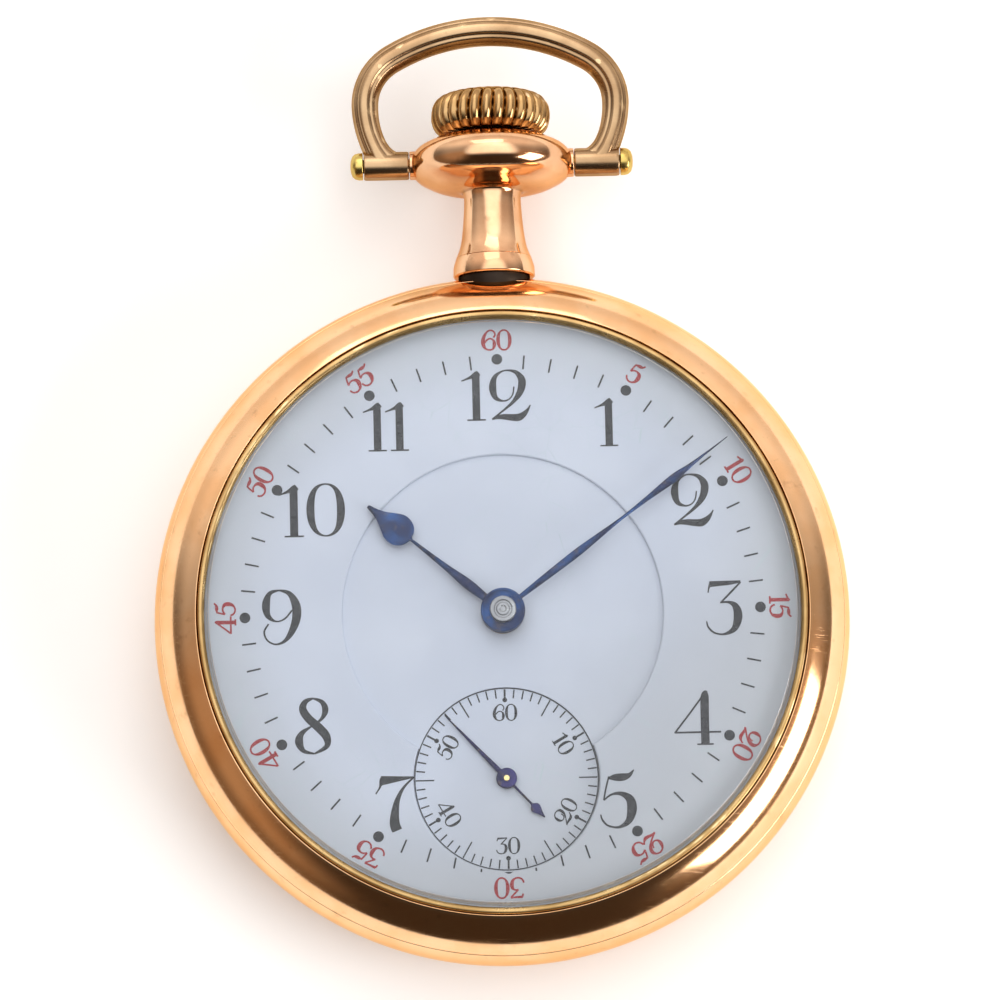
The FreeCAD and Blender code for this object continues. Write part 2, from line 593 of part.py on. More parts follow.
def train_bridge():
    body = bridge([(-22, 2.3), (3.0, 2.3), (3.0, -8), (7.2, -12), (7.2, -22), (-22, -22)])
    body = body.cut(disc(7.9, 0, 9, BALANCE)).cut(disc(1.2, 0, 9, CENTRE))
    return body.cut(screw_holes([THIRD, FOURTH, ESCAPE], 0.45)).removeSplitter()


def balance_cock():
    foot_outline = [(12.6, 1.0), (22, 1.0), (22, 7.5), (12.6, 7.5)]
    foot = prism(foot_outline, BRIDGE_Z0, PLATE_Z0).common(disc(BRIDGE_R, 0, 9))
    foot = foot.fuse(prism(foot_outline, COCK_Z0, BRIDGE_Z0).common(disc(COCK_R, 0, 9)))
    arm = prism([(12.6, 6.4), (17.2, 6.4), (18.2, 2.0), (12.7, -8.0), (8.0, -7.6)], COCK_Z0, COCK_Z1)
    body = foot.fuse([arm, disc(2.5, COCK_Z0, COCK_Z1, BALANCE), disc(1.25, 0.98, COCK_Z1, BALANCE)])
    body = body.cut(disc(0.6, 0, 9, BALANCE)).cut(disc(0.5, 0, 9, COCK_SCREW))
    body = body.cut(disc(1.0, 0, COCK_SINK_Z, COCK_SCREW))
    return body.cut(disc(0.3, 0, 9, STUD)).removeSplitter()


def pallet_bridge():
    """A bar on two feet that carries the upper pivot of the pallet fork."""
    bar_z0, bar_z1 = 3.05, 3.4
    across = 0.6
    corners = []
    for foot, turn in zip(PALLET_FEET, (1, -1)):
        corners += [polar(across, LEVER_ANGLE + 90 - turn * 90, foot),
                    polar(across, LEVER_ANGLE + 90 + turn * 90, foot)]
    body = prism(corners, bar_z0, bar_z1)
    for foot in PALLET_FEET:
        pin = disc(0.3, PLATE_Z0 - 0.1, PLATE_Z1 - 0.4, foot)
        body = body.fuse([disc(across, bar_z0, PLATE_Z0, foot), pin])
    return body.cut(disc(0.45, 0, 5, PALLET)).removeSplitter()


def slotted_screw(at, head_r, head_z0, head_z1, shank_r, shank_z1, slot_angle):
    """A cheese head with a slot across it, facing the back, and a plain shank."""
    body = shaft([(head_z0, head_z1, head_r), (head_z1, shank_z1, shank_r)], at)
    slot = box(-head_r, head_r, -0.11, 0.11, head_z0 - 1, head_z0 + 0.18)
    slot.rotate(FreeCAD.Vector(0, 0, 0), FreeCAD.Vector(0, 0, 1), slot_angle)
    slot.translate(FreeCAD.Vector(at[0], at[1], 0))
    return body.cut(slot)


def jewel(at, z0, z1, outer, hole):
    return ring(outer, hole, z0, z1, at)


# ---- train ----
def train_arbor(at, leaves, module, first, pinion_z, body_r, pivot_r, last_z, pivot_z0=2.5):
    """A shaft with its pinion: a thin pivot at each end, and the leaves cut from the thicker middle."""
    body = shaft([(pivot_z0, 3.3, pivot_r), (3.3, 6.0, body_r), (6.0, last_z, pivot_r)], at)
    return body.fuse(pinion(leaves, module, first, at, *pinion_z)).removeSplitter()


def barrel():
    teeth = tooth_outline(BARREL_TEETH, BARREL_MODULE, direction(BARREL, CENTRE), BARREL)
    drum = prism(teeth, 4.85, 5.35).fuse(disc(7.9, 3.35, 4.9, BARREL))
    return drum.cut(disc(7.4, 3.0, 4.95, BARREL)).cut(disc(1.04, 0, 9, BARREL)).removeSplitter()


def barrel_arbor():
    body = shaft([(1.55, 3.62, 1.0), (3.62, 4.9, 2.2), (4.9, 5.42, 1.0), (5.42, 7.4, 0.6)], BARREL)
    return body.cut(disc(0.5, 1, 2.8, BARREL))


def cannon_pinion():
    leaves = pinion(CANNON_LEAVES, CANNON_MODULE, 90, CENTRE, 7.8, 8.15)
    hub_top = MINUTE_LEVELS[3]
    pipe = disc(CANNON_PIPE_R, 7.8, hub_top).fuse(disc(CANNON_CAP_R, hub_top, CANNON_CAP_Z))
    return leaves.fuse(pipe).cut(disc(0.56, 0, CENTRE_TOP_Z + 0.05)).removeSplitter()


def minute_wheel():
    wheel = armed_wheel(MINUTE_TEETH, CANNON_MODULE, gap_at(MINUTE_TEETH, -90), MINUTE_POST, 7.85, 8.1,
                        0.38, 1.3, 0.35, arms=4)
    leaves = pinion(MINUTE_LEAVES, HOUR_MODULE, gap_at(MINUTE_LEAVES, -90), MINUTE_POST, 8.1, 8.58)
    return wheel.fuse(leaves).cut(disc(0.38, 0, 9, MINUTE_POST)).removeSplitter()


def hour_wheel():
    teeth = prism(tooth_outline(HOUR_TEETH, HOUR_MODULE, 90), 8.3, 8.55)
    return teeth.fuse(disc(HOUR_PIPE_R, 8.3, HOUR_LEVELS[3])).cut(disc(0.9, 0, 20)).removeSplitter()


def escape_wheel():
    """Club-footed teeth that lean forward, on a thin rim with four arms."""
    outline = []
    for number in range(ESCAPE_TEETH):
        start = LEVER_ANGLE + 12 + number * 360 / ESCAPE_TEETH
        for radius, turn in ((2.65, 0), (ESCAPE_R, 6.5), (ESCAPE_R - 0.04, 9.5), (3.1, 8.6), (2.65, 13)):
            outline.append(polar(radius, start + turn, ESCAPE))
    windows = arm_windows(4, 0.75, 2.3, 0.2, ESCAPE, LEVER_ANGLE)
    return prism(outline, 3.55, 3.8, windows).cut(disc(0.3, 0, 9, ESCAPE))


def pallet_stone(side):
    """A ruby that points at the escape wheel from 30 degrees either side of the line to the fork."""
    place = polar(ESCAPE_R + PALLET_CLEARANCE, LEVER_ANGLE + side * 30, ESCAPE)
    stone = box(0, 0.9, -0.16, 0.16, 3.47, 3.88)
    stone.rotate(FreeCAD.Vector(0, 0, 0), FreeCAD.Vector(0, 0, 1), LEVER_ANGLE + side * 30)
    stone.translate(FreeCAD.Vector(place[0], place[1], 0))
    return stone


def pallet_fork():
    """Two arms to the stones and a lever whose slot takes the impulse pin."""
    def spot(along, across):
        x, y = polar(along, LEVER_ANGLE, PALLET)
        return polar(across, LEVER_ANGLE + 90, (x, y))
    tip = FORK_REACH - 0.5
    outline = [spot(0.55, -0.3), spot(tip - 1.0, -0.2), spot(tip, -0.55), spot(tip, -0.2),
               spot(tip - 0.55, -0.2), spot(tip - 0.55, 0.2), spot(tip, 0.2), spot(tip, 0.55),
               spot(tip - 1.0, 0.2), spot(0.55, 0.3), spot(0.5, 1.9), spot(0.25, 2.75), spot(-0.3, 2.75),
               spot(-0.7, 2.3), spot(-0.7, 1.45), spot(-0.4, 0.6), spot(-0.4, -0.6), spot(-0.7, -1.45),
               spot(-0.7, -2.3), spot(-0.3, -2.75), spot(0.25, -2.75), spot(0.5, -1.9)]
    body = prism(outline, 3.55, 3.8).cut(disc(0.25, 0, 9, PALLET))
    return body.cut(Part.makeCompound([pallet_stone(side) for side in (-1, 1)]))


def balance_wheel():
    windows = arm_windows(2, 0.95, 6.3, 0.45, BALANCE, LEVER_ANGLE, steps=20)
    rim = prism(round_outline(BALANCE_RIM_R, BALANCE, 72), 2.2, 2.9, windows).cut(disc(0.55, 0, 9, BALANCE))
    hollows = ring(6.31, 0.96, 2.65, 3.0, BALANCE).fuse(ring(6.31, 0.96, 2.1, 2.38, BALANCE))
    return rim.cut(hollows)


def balance_screws():
    """The timing screws around the rim."""
    screws = []
    for number in range(BALANCE_SCREW_COUNT):
        angle = LEVER_ANGLE + (number + 0.5) * 360 / BALANCE_SCREW_COUNT
        x, y = polar(BALANCE_RIM_R, angle, BALANCE)
        outward = FreeCAD.Vector(*polar(1, angle), 0)
        screws.append(Part.makeCylinder(0.24, 0.45, FreeCAD.Vector(x, y, 2.55), outward))
    return Part.makeCompound([screw.cut(disc(BALANCE_RIM_R, 0, 9, BALANCE)) for screw in screws])


def balance_staff():
    """The staff with its roller; the impulse pin stands half a turn away from the fork."""
    staff = shaft([(1.25, 1.85, 0.12), (1.85, 2.3, 0.3), (2.3, 2.75, 0.55), (2.75, 3.05, 0.4),
                   (3.05, 3.2, 0.95), (3.2, 6.0, 0.28), (6.0, 6.8, 0.12)], BALANCE)
    pin = disc(0.15, 3.1, 3.85, polar(0.75, LEVER_ANGLE, BALANCE))
    return staff.fuse(pin).removeSplitter()


def hairspring():
    spring = coil(BALANCE, 0.55, HAIRSPRING_R, 10, 0.06, 1.87, 2.05)
    spring.rotate(FreeCAD.Vector(BALANCE[0], BALANCE[1], 0), FreeCAD.Vector(0, 0, 1), STUD_ANGLE)
    return spring.cut(disc(0.3, 0, 9, STUD))


def regulator():
    """A ring round the cock's boss with a long pointer."""
    pointer = prism([(-0.45, 1.5), (-0.1, 6.0), (0.1, 6.0), (0.45, 1.5)], 0.98, 1.13)
    pointer.rotate(FreeCAD.Vector(0, 0, 0), FreeCAD.Vector(0, 0, 1), -28)
    pointer.translate(FreeCAD.Vector(BALANCE[0], BALANCE[1], 0))
    return disc(1.95, 0.98, 1.13, BALANCE).fuse(pointer).cut(disc(1.3, 0, 9, BALANCE)).removeSplitter()


# ---- winding work ----
def ratchet_wheel():
    first = direction(BARREL, CROWN_WHEEL)
    wheel = prism(tooth_outline(RATCHET_TEETH, WINDING_MODULE, first, BARREL), WINDING_Z0, WINDING_Z1)
    return wheel.cut(disc(1.0, 0, 9, BARREL))


def crown_wheel():
    """A flat wheel that drives the ratchet wheel, with a skirt of contrate teeth for the winding pinion."""
    first = gap_at(CROWN_WHEEL_TEETH, direction(CROWN_WHEEL, BARREL))
    outline = tooth_outline(CROWN_WHEEL_TEETH, WINDING_MODULE, first, CROWN_WHEEL)
    wheel = prism(outline, WINDING_Z0, WINDING_Z1)
    skirt = ring(CONTRATE_R + 0.3, CONTRATE_R - 0.3, 1.9, CONTRATE_ROOT_Z, CROWN_WHEEL)
    teeth = []
    for number in range(CONTRATE_TEETH):
        tooth = box(CONTRATE_R - 0.28, CONTRATE_R + 0.28, -0.11, 0.11,
                    CONTRATE_ROOT_Z - 0.1, CONTRATE_TIP_Z)
        tooth.rotate(FreeCAD.Vector(0, 0, 0), FreeCAD.Vector(0, 0, 1),
                     90 + (number + 0.5) * 360 / CONTRATE_TEETH)
        tooth.translate(FreeCAD.Vector(CROWN_WHEEL[0], CROWN_WHEEL[1], 0))
        teeth.append(tooth)
    body = wheel.fuse([skirt] + teeth)
    return body.cut(disc(0.95, 0, 9, CROWN_WHEEL)).removeSplitter()


def winding_pinion():
    """A pinion on a sleeve with a square hole for the stem. One leaf points at the crown wheel."""
    pitch = 360 / WINDING_LEAVES
    outline = []
    for number in range(WINDING_LEAVES):
        middle = 90 + number * pitch
        for radius, share in ((WINDING_ROOT_R, -0.21), (WINDING_TIP_R, -0.13),
                              (WINDING_TIP_R, 0.13), (WINDING_ROOT_R, 0.21)):
            outline.append(polar(radius, middle + share * pitch))
    leaves = prism(outline, WINDING_Y - 0.3, WINDING_Y + 0.3)
    sleeve = disc(1.0, WINDING_Y - 0.3, 21.1)
    return to_pendant(leaves.fuse(sleeve).cut(box(-0.45, 0.45, -0.45, 0.45, 10, 25)).removeSplitter())


def clutch_wheel():
    """The clutch that rides on the sleeve; its end teeth face the pendant."""
    pitch = 360 / 16
    outline = []
    for number in range(16):
        for radius, share in ((1.45, -0.3), (1.7, -0.15), (1.7, 0.15), (1.45, 0.3)):
            outline.append(polar(radius, (number + share) * pitch))
    return to_pendant(prism(outline, WINDING_Y + 1.2, WINDING_Y + 2.4).cut(disc(1.0, 0, 40)))


def click():
    """A pawl whose nose stays just clear of the ratchet wheel's teeth."""
    nose_reach = CLICK_REACH - WINDING_MODULE * (RATCHET_TEETH / 2 + 0.7) - 0.06
    nose = [(0, -0.7), (nose_reach, -0.12), (nose_reach, 0.12), (0, 0.7)]
    body = disc(0.85, WINDING_Z0, WINDING_Z1).fuse(prism(nose, WINDING_Z0, WINDING_Z1))
    body = body.cut(disc(0.44, 0, 9)).removeSplitter()
    body.rotate(FreeCAD.Vector(0, 0, 0), FreeCAD.Vector(0, 0, 1), CLICK_ANGLE + 180)
    body.translate(FreeCAD.Vector(CLICK_POST[0], CLICK_POST[1], 0))
    return body


def click_spring():
    """A thin strip that curls round the click's post, with a round foot on the bridge."""
    strip = ring(1.55, 1.4, 1.6, 1.88, CLICK_POST)
    keep = prism([CLICK_POST, polar(4, CLICK_ANGLE - 60, CLICK_POST), polar(6, CLICK_ANGLE, CLICK_POST),
                  polar(4, CLICK_ANGLE + 60, CLICK_POST)], 0, 3)
    foot = disc(0.5, 1.6, BRIDGE_Z0, polar(1.6, CLICK_ANGLE, CLICK_POST))
    return strip.common(keep).fuse(foot).removeSplitter()


# ---- all parts ----
parts["case_back"] = case_back()
parts["case_middle"] = case_middle()
parts["bezel"] = bezel()
parts["crystal"] = crystal()
parts["pendant"] = pendant()
parts["pendant_sleeve"] = pendant_sleeve()
parts["bow"] = bow()
parts["bow_screws"] = Part.makeCompound([bow_screw(side) for side in (-1, 1)])
parts["crown"] = crown()
parts["stem"] = stem()

parts["dial_ring"] = dial_ring()
parts["dial_centre"] = dial_centre()
parts["dial_seconds"] = dial_seconds()
parts["dial_feet"] = Part.makeCompound([disc(0.4, 6.6, DIAL_Z - DIAL_THICKNESS, at) for at in DIAL_FEET])
parts["hour_hand"] = hand(HOUR_BLADE, HAND_HUB_R, HOUR_PIPE_R, HOUR_LEVELS, HOUR_ANGLE)
parts["minute_hand"] = hand(MINUTE_BLADE, HAND_HUB_R, CANNON_PIPE_R, MINUTE_LEVELS, MINUTE_ANGLE)
parts["seconds_hand"] = hand(SECONDS_TAIL + SECONDS_BLADE, SECONDS_HUB_R, SECONDS_BORE_R, SECONDS_LEVELS,
                             SECONDS_ANGLE, FOURTH)

parts["pillar_plate"] = pillar_plate()
parts["barrel_bridge"] = barrel_bridge()
parts["train_bridge"] = train_bridge()
parts["balance_cock"] = balance_cock()
parts["pallet_bridge"] = pallet_bridge()
parts["bridge_screws"] = Part.makeCompound(
    [slotted_screw(at, 1.0, 1.6, BRIDGE_Z0, 0.5, 7.2, 40 * number)
     for number, at in enumerate(BRIDGE_SCREWS)]
    + [slotted_screw(COCK_SCREW, 1.0, 1.0, COCK_SINK_Z, 0.5, 7.2, 65)])
parts["case_screws"] = Part.makeCompound(
    [slotted_screw(at, 1.4, 2.5, 3.0, 0.5, 7.2, 25 + 70 * number) for number, at in enumerate(CASE_SCREWS)])
parts["plate_jewels"] = Part.makeCompound(
    [jewel(at, PLATE_Z0, 6.9, 0.6, hole) for at, hole in
     ((THIRD, 0.22), (FOURTH, 0.22), (ESCAPE, 0.14), (PALLET, 0.14), (BALANCE, 0.14))])
parts["bridge_jewels"] = Part.makeCompound(
    [jewel(THIRD, 2.2, BRIDGE_Z1, 0.45, 0.22), jewel(FOURTH, 2.2, BRIDGE_Z1, 0.45, 0.22),
     jewel(ESCAPE, 2.2, BRIDGE_Z1, 0.45, 0.14), jewel(CENTRE, 2.2, BRIDGE_Z1, 1.2, 0.47),
     jewel(PALLET, 3.05, 3.4, 0.45, 0.14), jewel(BALANCE, 1.05, COCK_Z1, 0.6, 0.14)])

parts["barrel"] = barrel()
parts["barrel_cover"] = ring(7.4, 1.04, 3.35, 3.58, BARREL)
parts["barrel_arbor"] = barrel_arbor()
parts["mainspring"] = coil(BARREL, 2.35, 7.3, 9, 0.2, 3.7, 4.85)
parts["ratchet_wheel"] = ratchet_wheel()
parts["ratchet_screw"] = slotted_screw(BARREL, 1.7, 1.15, 1.55, 0.5, 2.8, 20)
parts["crown_wheel"] = crown_wheel()
parts["crown_wheel_post"] = shaft([(1.2, 1.53, 1.7), (1.53, PLATE_Z0, 0.9), (PLATE_Z0, 7.4, 0.35)],
                                  CROWN_WHEEL)
parts["click"] = click()
parts["click_screw"] = slotted_screw(CLICK_POST, 0.8, 1.2, 1.53, 0.4, 2.9, 110)
parts["click_spring"] = click_spring()
parts["winding_pinion"] = winding_pinion()
parts["clutch_wheel"] = clutch_wheel()

parts["centre_arbor"] = shaft(
    [(2.3, 3.3, 0.45), (3.3, 5.9, 0.7), (5.9, PLATE_Z1, 0.75), (PLATE_Z1, CENTRE_TOP_Z, 0.55)], CENTRE).fuse(
    pinion(CENTRE_LEAVES, BARREL_MODULE, gap_at(CENTRE_LEAVES, direction(CENTRE, BARREL)), CENTRE,
           4.75, 5.45)).removeSplitter()
parts["centre_wheel"] = armed_wheel(CENTRE_TEETH, CENTRE_MODULE, direction(CENTRE, THIRD), CENTRE, 5.6, 5.85,
                                    0.7, 1.5, 0.5)
parts["cannon_pinion"] = cannon_pinion()
parts["minute_wheel"] = minute_wheel()
parts["minute_post"] = shaft([(6.8, 8.64, 0.35)], MINUTE_POST)
parts["hour_wheel"] = hour_wheel()
parts["third_arbor"] = train_arbor(THIRD, THIRD_LEAVES, CENTRE_MODULE,
                                   gap_at(THIRD_LEAVES, direction(THIRD, CENTRE)), (5.45, 5.98),
                                   0.45, 0.2, 6.85)
parts["third_wheel"] = armed_wheel(THIRD_TEETH, THIRD_MODULE, direction(THIRD, FOURTH), THIRD, 4.2, 4.4,
                                   0.45, 1.1, 0.4, arm_half=0.22)
parts["fourth_arbor"] = train_arbor(FOURTH, FOURTH_LEAVES, THIRD_MODULE,
                                    gap_at(FOURTH_LEAVES, direction(FOURTH, THIRD)), (4.05, 4.6), 0.4,
                                    SECONDS_BORE_R, SECONDS_LEVELS[3] + 0.1)
parts["fourth_wheel"] = armed_wheel(FOURTH_TEETH, FOURTH_MODULE, direction(FOURTH, ESCAPE), FOURTH, 5.0, 5.2,
                                    0.4, 1.0, 0.4, arm_half=0.2)
parts["escape_arbor"] = train_arbor(ESCAPE, ESCAPE_LEAVES, FOURTH_MODULE,
                                    gap_at(ESCAPE_LEAVES, direction(ESCAPE, FOURTH)), (4.85, 5.35),
                                    0.3, 0.12, 6.8)
parts["escape_wheel"] = escape_wheel()
parts["pallet_fork"] = pallet_fork()
parts["pallet_stones"] = Part.makeCompound([pallet_stone(side) for side in (-1, 1)])
parts["pallet_arbor"] = shaft([(3.1, 3.45, 0.12), (3.45, 6.0, 0.25), (6.0, 6.8, 0.12)], PALLET)
parts["balance_wheel"] = balance_wheel()
parts["balance_screws"] = balance_screws()
parts["balance_staff"] = balance_staff()
parts["hairspring"] = hairspring()
parts["hairspring_stud"] = disc(0.3, 1.5, 2.1, STUD)
parts["regulator"] = regulator()

os.makedirs("parts", exist_ok=True)
for name, shape in parts.items():
    shape.exportStep(f"parts/{name}.step")
print(len(parts), "nodes")
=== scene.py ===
# %% [markdown]
# # An open face pocket watch
# The watch lies on its back with its dial up. Its measured solids are loaded first and never move.
# Each visible part is then built again with softer edges and finer detail, in the same place,
# and the movement inside keeps its measured solids and only gets better finishes.

# %% Load the measured frame
import math

import bpy
import bmesh
from mathutils import Matrix, Vector


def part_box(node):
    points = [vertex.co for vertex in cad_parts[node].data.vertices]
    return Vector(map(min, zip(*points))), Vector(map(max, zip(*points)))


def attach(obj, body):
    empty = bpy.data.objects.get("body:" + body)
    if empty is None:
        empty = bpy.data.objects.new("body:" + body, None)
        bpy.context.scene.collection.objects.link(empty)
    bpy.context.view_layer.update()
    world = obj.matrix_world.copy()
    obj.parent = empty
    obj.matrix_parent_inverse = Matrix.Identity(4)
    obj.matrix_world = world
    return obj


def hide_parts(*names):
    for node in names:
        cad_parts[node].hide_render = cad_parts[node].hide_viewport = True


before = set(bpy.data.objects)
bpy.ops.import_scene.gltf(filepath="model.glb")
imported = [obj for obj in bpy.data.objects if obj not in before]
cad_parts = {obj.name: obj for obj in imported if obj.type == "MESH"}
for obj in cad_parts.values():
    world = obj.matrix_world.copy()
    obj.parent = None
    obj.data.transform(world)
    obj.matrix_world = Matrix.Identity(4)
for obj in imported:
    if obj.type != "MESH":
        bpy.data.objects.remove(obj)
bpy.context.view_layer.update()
MM = 0.001

# %% [markdown]
# Every size below is in millimetres. The places of the parts are read from the measured solids,
# so a change to the watch moves the looks with it. Only the fine shape of an edge is given here.

# %% Read the main sizes
def box_mm(node):
    low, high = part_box(node)
    return low / MM, high / MM


CASE_R = box_mm("case_middle")[1].x
MID_Z = sum(corner.z for corner in box_mm("stem")) / 2
DIAL_R = box_mm("dial_ring")[1].x
DIAL_Z = box_mm("dial_ring")[1].z
CENTRE_R = box_mm("dial_centre")[1].x
CENTRE_Z = box_mm("dial_centre")[1].z
SECONDS_LOW, SECONDS_HIGH = box_mm("dial_seconds")
SECONDS_R = SECONDS_HIGH.x
SECONDS_Z = SECONDS_HIGH.z
SECONDS_Y = (SECONDS_LOW.y + SECONDS_HIGH.y) / 2
BOW_Y = sum(corner.y for corner in box_mm("bow_screws")) / 2
GLASS_TOP_Z = box_mm("crystal")[1].z
print("case radius", round(CASE_R, 2), "dial level", round(DIAL_Z, 2), "pendant level", round(MID_Z, 2))

# %% [markdown]
# A shader sum is easier to read as a sum. Wire wraps one output of a node, and the usual signs of
# arithmetic on it add the Math nodes. Finish holds one material and adds every other kind of node.

# %% Sums of shader values
class Wire:
    """One output of a node, which can be used in a sum."""

    def __init__(self, tree, socket):
        self.tree = tree
        self.socket = socket

    def maths(self, operation, first, second):
        node = self.tree.nodes.new("ShaderNodeMath")
        node.operation = operation
        for socket, value in zip(node.inputs, (first, second)):
            plug(self.tree, socket, value)
        return Wire(self.tree, node.outputs[0])

    def __add__(self, other):
        return self.maths("ADD", self, other)

    def __radd__(self, other):
        return self.maths("ADD", other, self)

    def __sub__(self, other):
        return self.maths("SUBTRACT", self, other)

    def __rsub__(self, other):
        return self.maths("SUBTRACT", other, self)

    def __mul__(self, other):
        return self.maths("MULTIPLY", self, other)

    def __rmul__(self, other):
        return self.maths("MULTIPLY", other, self)

    def __pow__(self, other):
        return self.maths("POWER", self, other)


def plug(tree, socket, value):
    """Link a wire to a socket, or set a plain value on it."""
    if isinstance(value, Wire):
        tree.links.new(value.socket, socket)
    elif socket.type == "RGBA":
        socket.default_value = (*value, 1.0)
    else:
        socket.default_value = value


class Finish:
    """A material in the making."""

    def __init__(self, name):
        self.material = bpy.data.materials.new(name)
        self.material.use_nodes = True
        self.tree = self.material.node_tree
        self.tree.nodes.clear()
        metres = self.add("TexCoord", output="Object")
        self.place = self.add("VectorMath", {"operation": "SCALE"}, {0: metres, "Scale": 1 / MM})

    def add(self, kind, settings=None, sockets=None, output=0):
        """Add one node: its settings first, then the values or links of its sockets."""
        node = self.tree.nodes.new("ShaderNode" + kind)
        for name, value in (settings or {}).items():
            if name == "stops":
                ramp = node.color_ramp
                while len(ramp.elements) < len(value):
                    ramp.elements.new(0.5)
                for stop, (position, colour) in zip(ramp.elements, value):
                    stop.position = position
                    stop.color = (*colour, 1.0)
            else:
                setattr(node, name, value)
        for name, value in (sockets or {}).items():
            plug(self.tree, node.inputs[name], value)
        return Wire(self.tree, node.outputs[output])

    def stretch(self, scale, rotation=(0, 0, 0), where=None):
        return self.add("Mapping", {}, {"Vector": where or self.place, "Scale": scale,
                                        "Rotation": [math.radians(turn) for turn in rotation]})

    def noise(self, scale, detail=2.0, where=None, roughness=0.5):
        return self.add("TexNoise", {}, {"Vector": where or self.place, "Scale": scale,
                                         "Detail": detail, "Roughness": roughness})

    def step(self, value, low, high, to_low=0.0, to_high=1.0):
        """A soft step: to_low below low, to_high above high."""
        return self.add("MapRange", {"interpolation_type": "SMOOTHSTEP"},
                        {"Value": value, "From Min": low, "From Max": high,
                         "To Min": to_low, "To Max": to_high})

    def mix(self, share, first, second, how="MIX"):
        return self.add("Mix", {"data_type": "RGBA", "blend_type": how},
                        {0: share, 6: first, 7: second}, output=2)

    def bump(self, height, distance, strength=1.0):
        return self.add("Bump", {}, {"Height": height, "Distance": distance * MM, "Strength": strength})

    def axes(self):
        parts = self.tree.nodes.new("ShaderNodeSeparateXYZ")
        self.tree.links.new(self.place.socket, parts.inputs[0])
        return [Wire(self.tree, socket) for socket in parts.outputs]

    def show(self, shader):
        output = self.tree.nodes.new("ShaderNodeOutputMaterial")
        self.tree.links.new(shader.socket, output.inputs["Surface"])
        print("finish", self.material.name, len(self.tree.nodes), "nodes")
        return self.material


print("shader helpers ready")

# %% [markdown]
# Old gold is polished by pockets and cloths, so it keeps a mirror finish with three kinds of age:
# hair scratches in every direction, cloudy patches where the shine is softer, and a darker tarnish
# in hollows. Scratches are very stretched noise at several angles. They feed roughness and a tiny bump.
# The hollows come from Geometry's pointiness, which is high on edges and low in corners.

# %% Fine scratches and gold
def scratches(finish, angles, across=34.0, along=0.3, keep=0.7):
    """Thin lines at each angle, as a value from 0 to 1."""
    total = 0.0
    for number, angle in enumerate(angles):
        where = finish.stretch((along, across, along), (17 * number, 11 * number, angle))
        lines = finish.step(finish.noise(1.0, 1.0, where), keep, keep + 0.05)
        patches = finish.step(finish.noise(0.35 + 0.1 * number, 1.0), 0.45, 0.6)
        total = total + lines * patches
    return total


def gold(name, bright, deep, tarnish, rough, pits=0.0, worn_tone=None, edge_tone=(1.0, 0.80, 0.55)):
    finish = Finish(name)
    clouds = finish.noise(0.3, 4.0)
    grain = finish.noise(7.0, 3.0)
    hollow = finish.step(finish.add("NewGeometry", output="Pointiness"), 0.46, 0.5, 1.0, 0.0)
    edge = finish.step(finish.add("NewGeometry", output="Pointiness"), 0.52, 0.62)
    marks = scratches(finish, (12, 74, 131, 158))
    colour = finish.mix(finish.step(clouds, 0.35, 0.68), bright, deep)
    stain = finish.step(finish.noise(1.1, 5.0), 0.6, 0.78) * 0.25 + hollow * 0.8
    colour = finish.mix(stain, colour, tarnish)
    if worn_tone:
        colour = finish.mix(edge * 0.8, colour, worn_tone)
    spots = finish.add("TexVoronoi", {}, {"Vector": finish.place, "Scale": 2.6}, output="Distance")
    pit = finish.step(spots, 0.05, 0.12, 1.0, 0.0) * finish.step(finish.noise(0.9, 2.0), 0.55, 0.65) * pits
    colour = finish.mix(pit, colour, tarnish)
    roughness = rough + finish.step(clouds, 0.4, 0.7) * 0.04 + marks * 0.07 + grain * 0.03 + pit * 0.25
    normal = finish.bump(grain * 0.08 - marks * 0.16 - pit * 1.2, 0.004)
    return finish.show(finish.add("BsdfPrincipled", {}, {
        "Base Color": colour, "Metallic": 1.0, "Roughness": roughness, "Normal": normal,
        "Specular Tint": edge_tone}))


ROSE_GOLD = gold("polished_rose_gold", (0.95, 0.60, 0.34), (0.90, 0.52, 0.26), (0.26, 0.10, 0.04), 0.09,
                 pits=0.35)
# The bow's gold is darker than the case's: painted shade for the darker surroundings it reflects. Its lighter
# rubbed edges are real wear.
BOW_GOLD = gold("shaded_worn_bow_gold", (0.48, 0.32, 0.18), (0.34, 0.21, 0.11), (0.10, 0.055, 0.03), 0.2,
                worn_tone=(0.72, 0.52, 0.30), edge_tone=(0.7, 0.5, 0.3))
# The pendant's gold is a little darker than the case's: painted shade for the dark middle of the ball.
PENDANT_GOLD = gold("shaded_pendant_rose_gold", (0.86, 0.54, 0.32), (0.72, 0.40, 0.22), (0.20, 0.08, 0.04), 0.08,
                    edge_tone=(0.9, 0.62, 0.4))
LIP_GOLD = gold("worn_yellow_gold", (0.54, 0.36, 0.16), (0.40, 0.25, 0.10), (0.12, 0.07, 0.03), 0.26,
                pits=0.8, worn_tone=(0.85, 0.66, 0.36), edge_tone=(0.8, 0.62, 0.34))
CROWN_GOLD = gold("crown_gold", (0.50, 0.31, 0.14), (0.40, 0.23, 0.09), (0.05, 0.025, 0.01), 0.17,
                  worn_tone=(0.90, 0.66, 0.40), edge_tone=(0.7, 0.5, 0.3))
# A nearly black gold for the pendant root: painted shadow for the dark gap under the collar.
SHADOW_GOLD = gold("painted_shadow_gold", (0.055, 0.04, 0.03), (0.035, 0.025, 0.02), (0.02, 0.014, 0.01), 0.4,
                 edge_tone=(0.2, 0.15, 0.1))
SCREW_GOLD = gold("brassy_yellow_gold", (0.66, 0.50, 0.16), (0.56, 0.39, 0.11), (0.20, 0.12, 0.04), 0.22)

# %% [markdown]
# The dial is fired glass enamel on copper. Its colour is a cool white that is a little darker towards
# the rim, and a century of use leaves dirt in pin holes and a few hair cracks under the gloss.
# Cracks are the borders of large Voronoi cells, bent by noise and kept only in a few places.
# The grey towards the rim and the lower right stands for light that falls off there. It is put in the
# colour because the lamps here are too soft to give it, so it is a choice of looks, not real dirt.

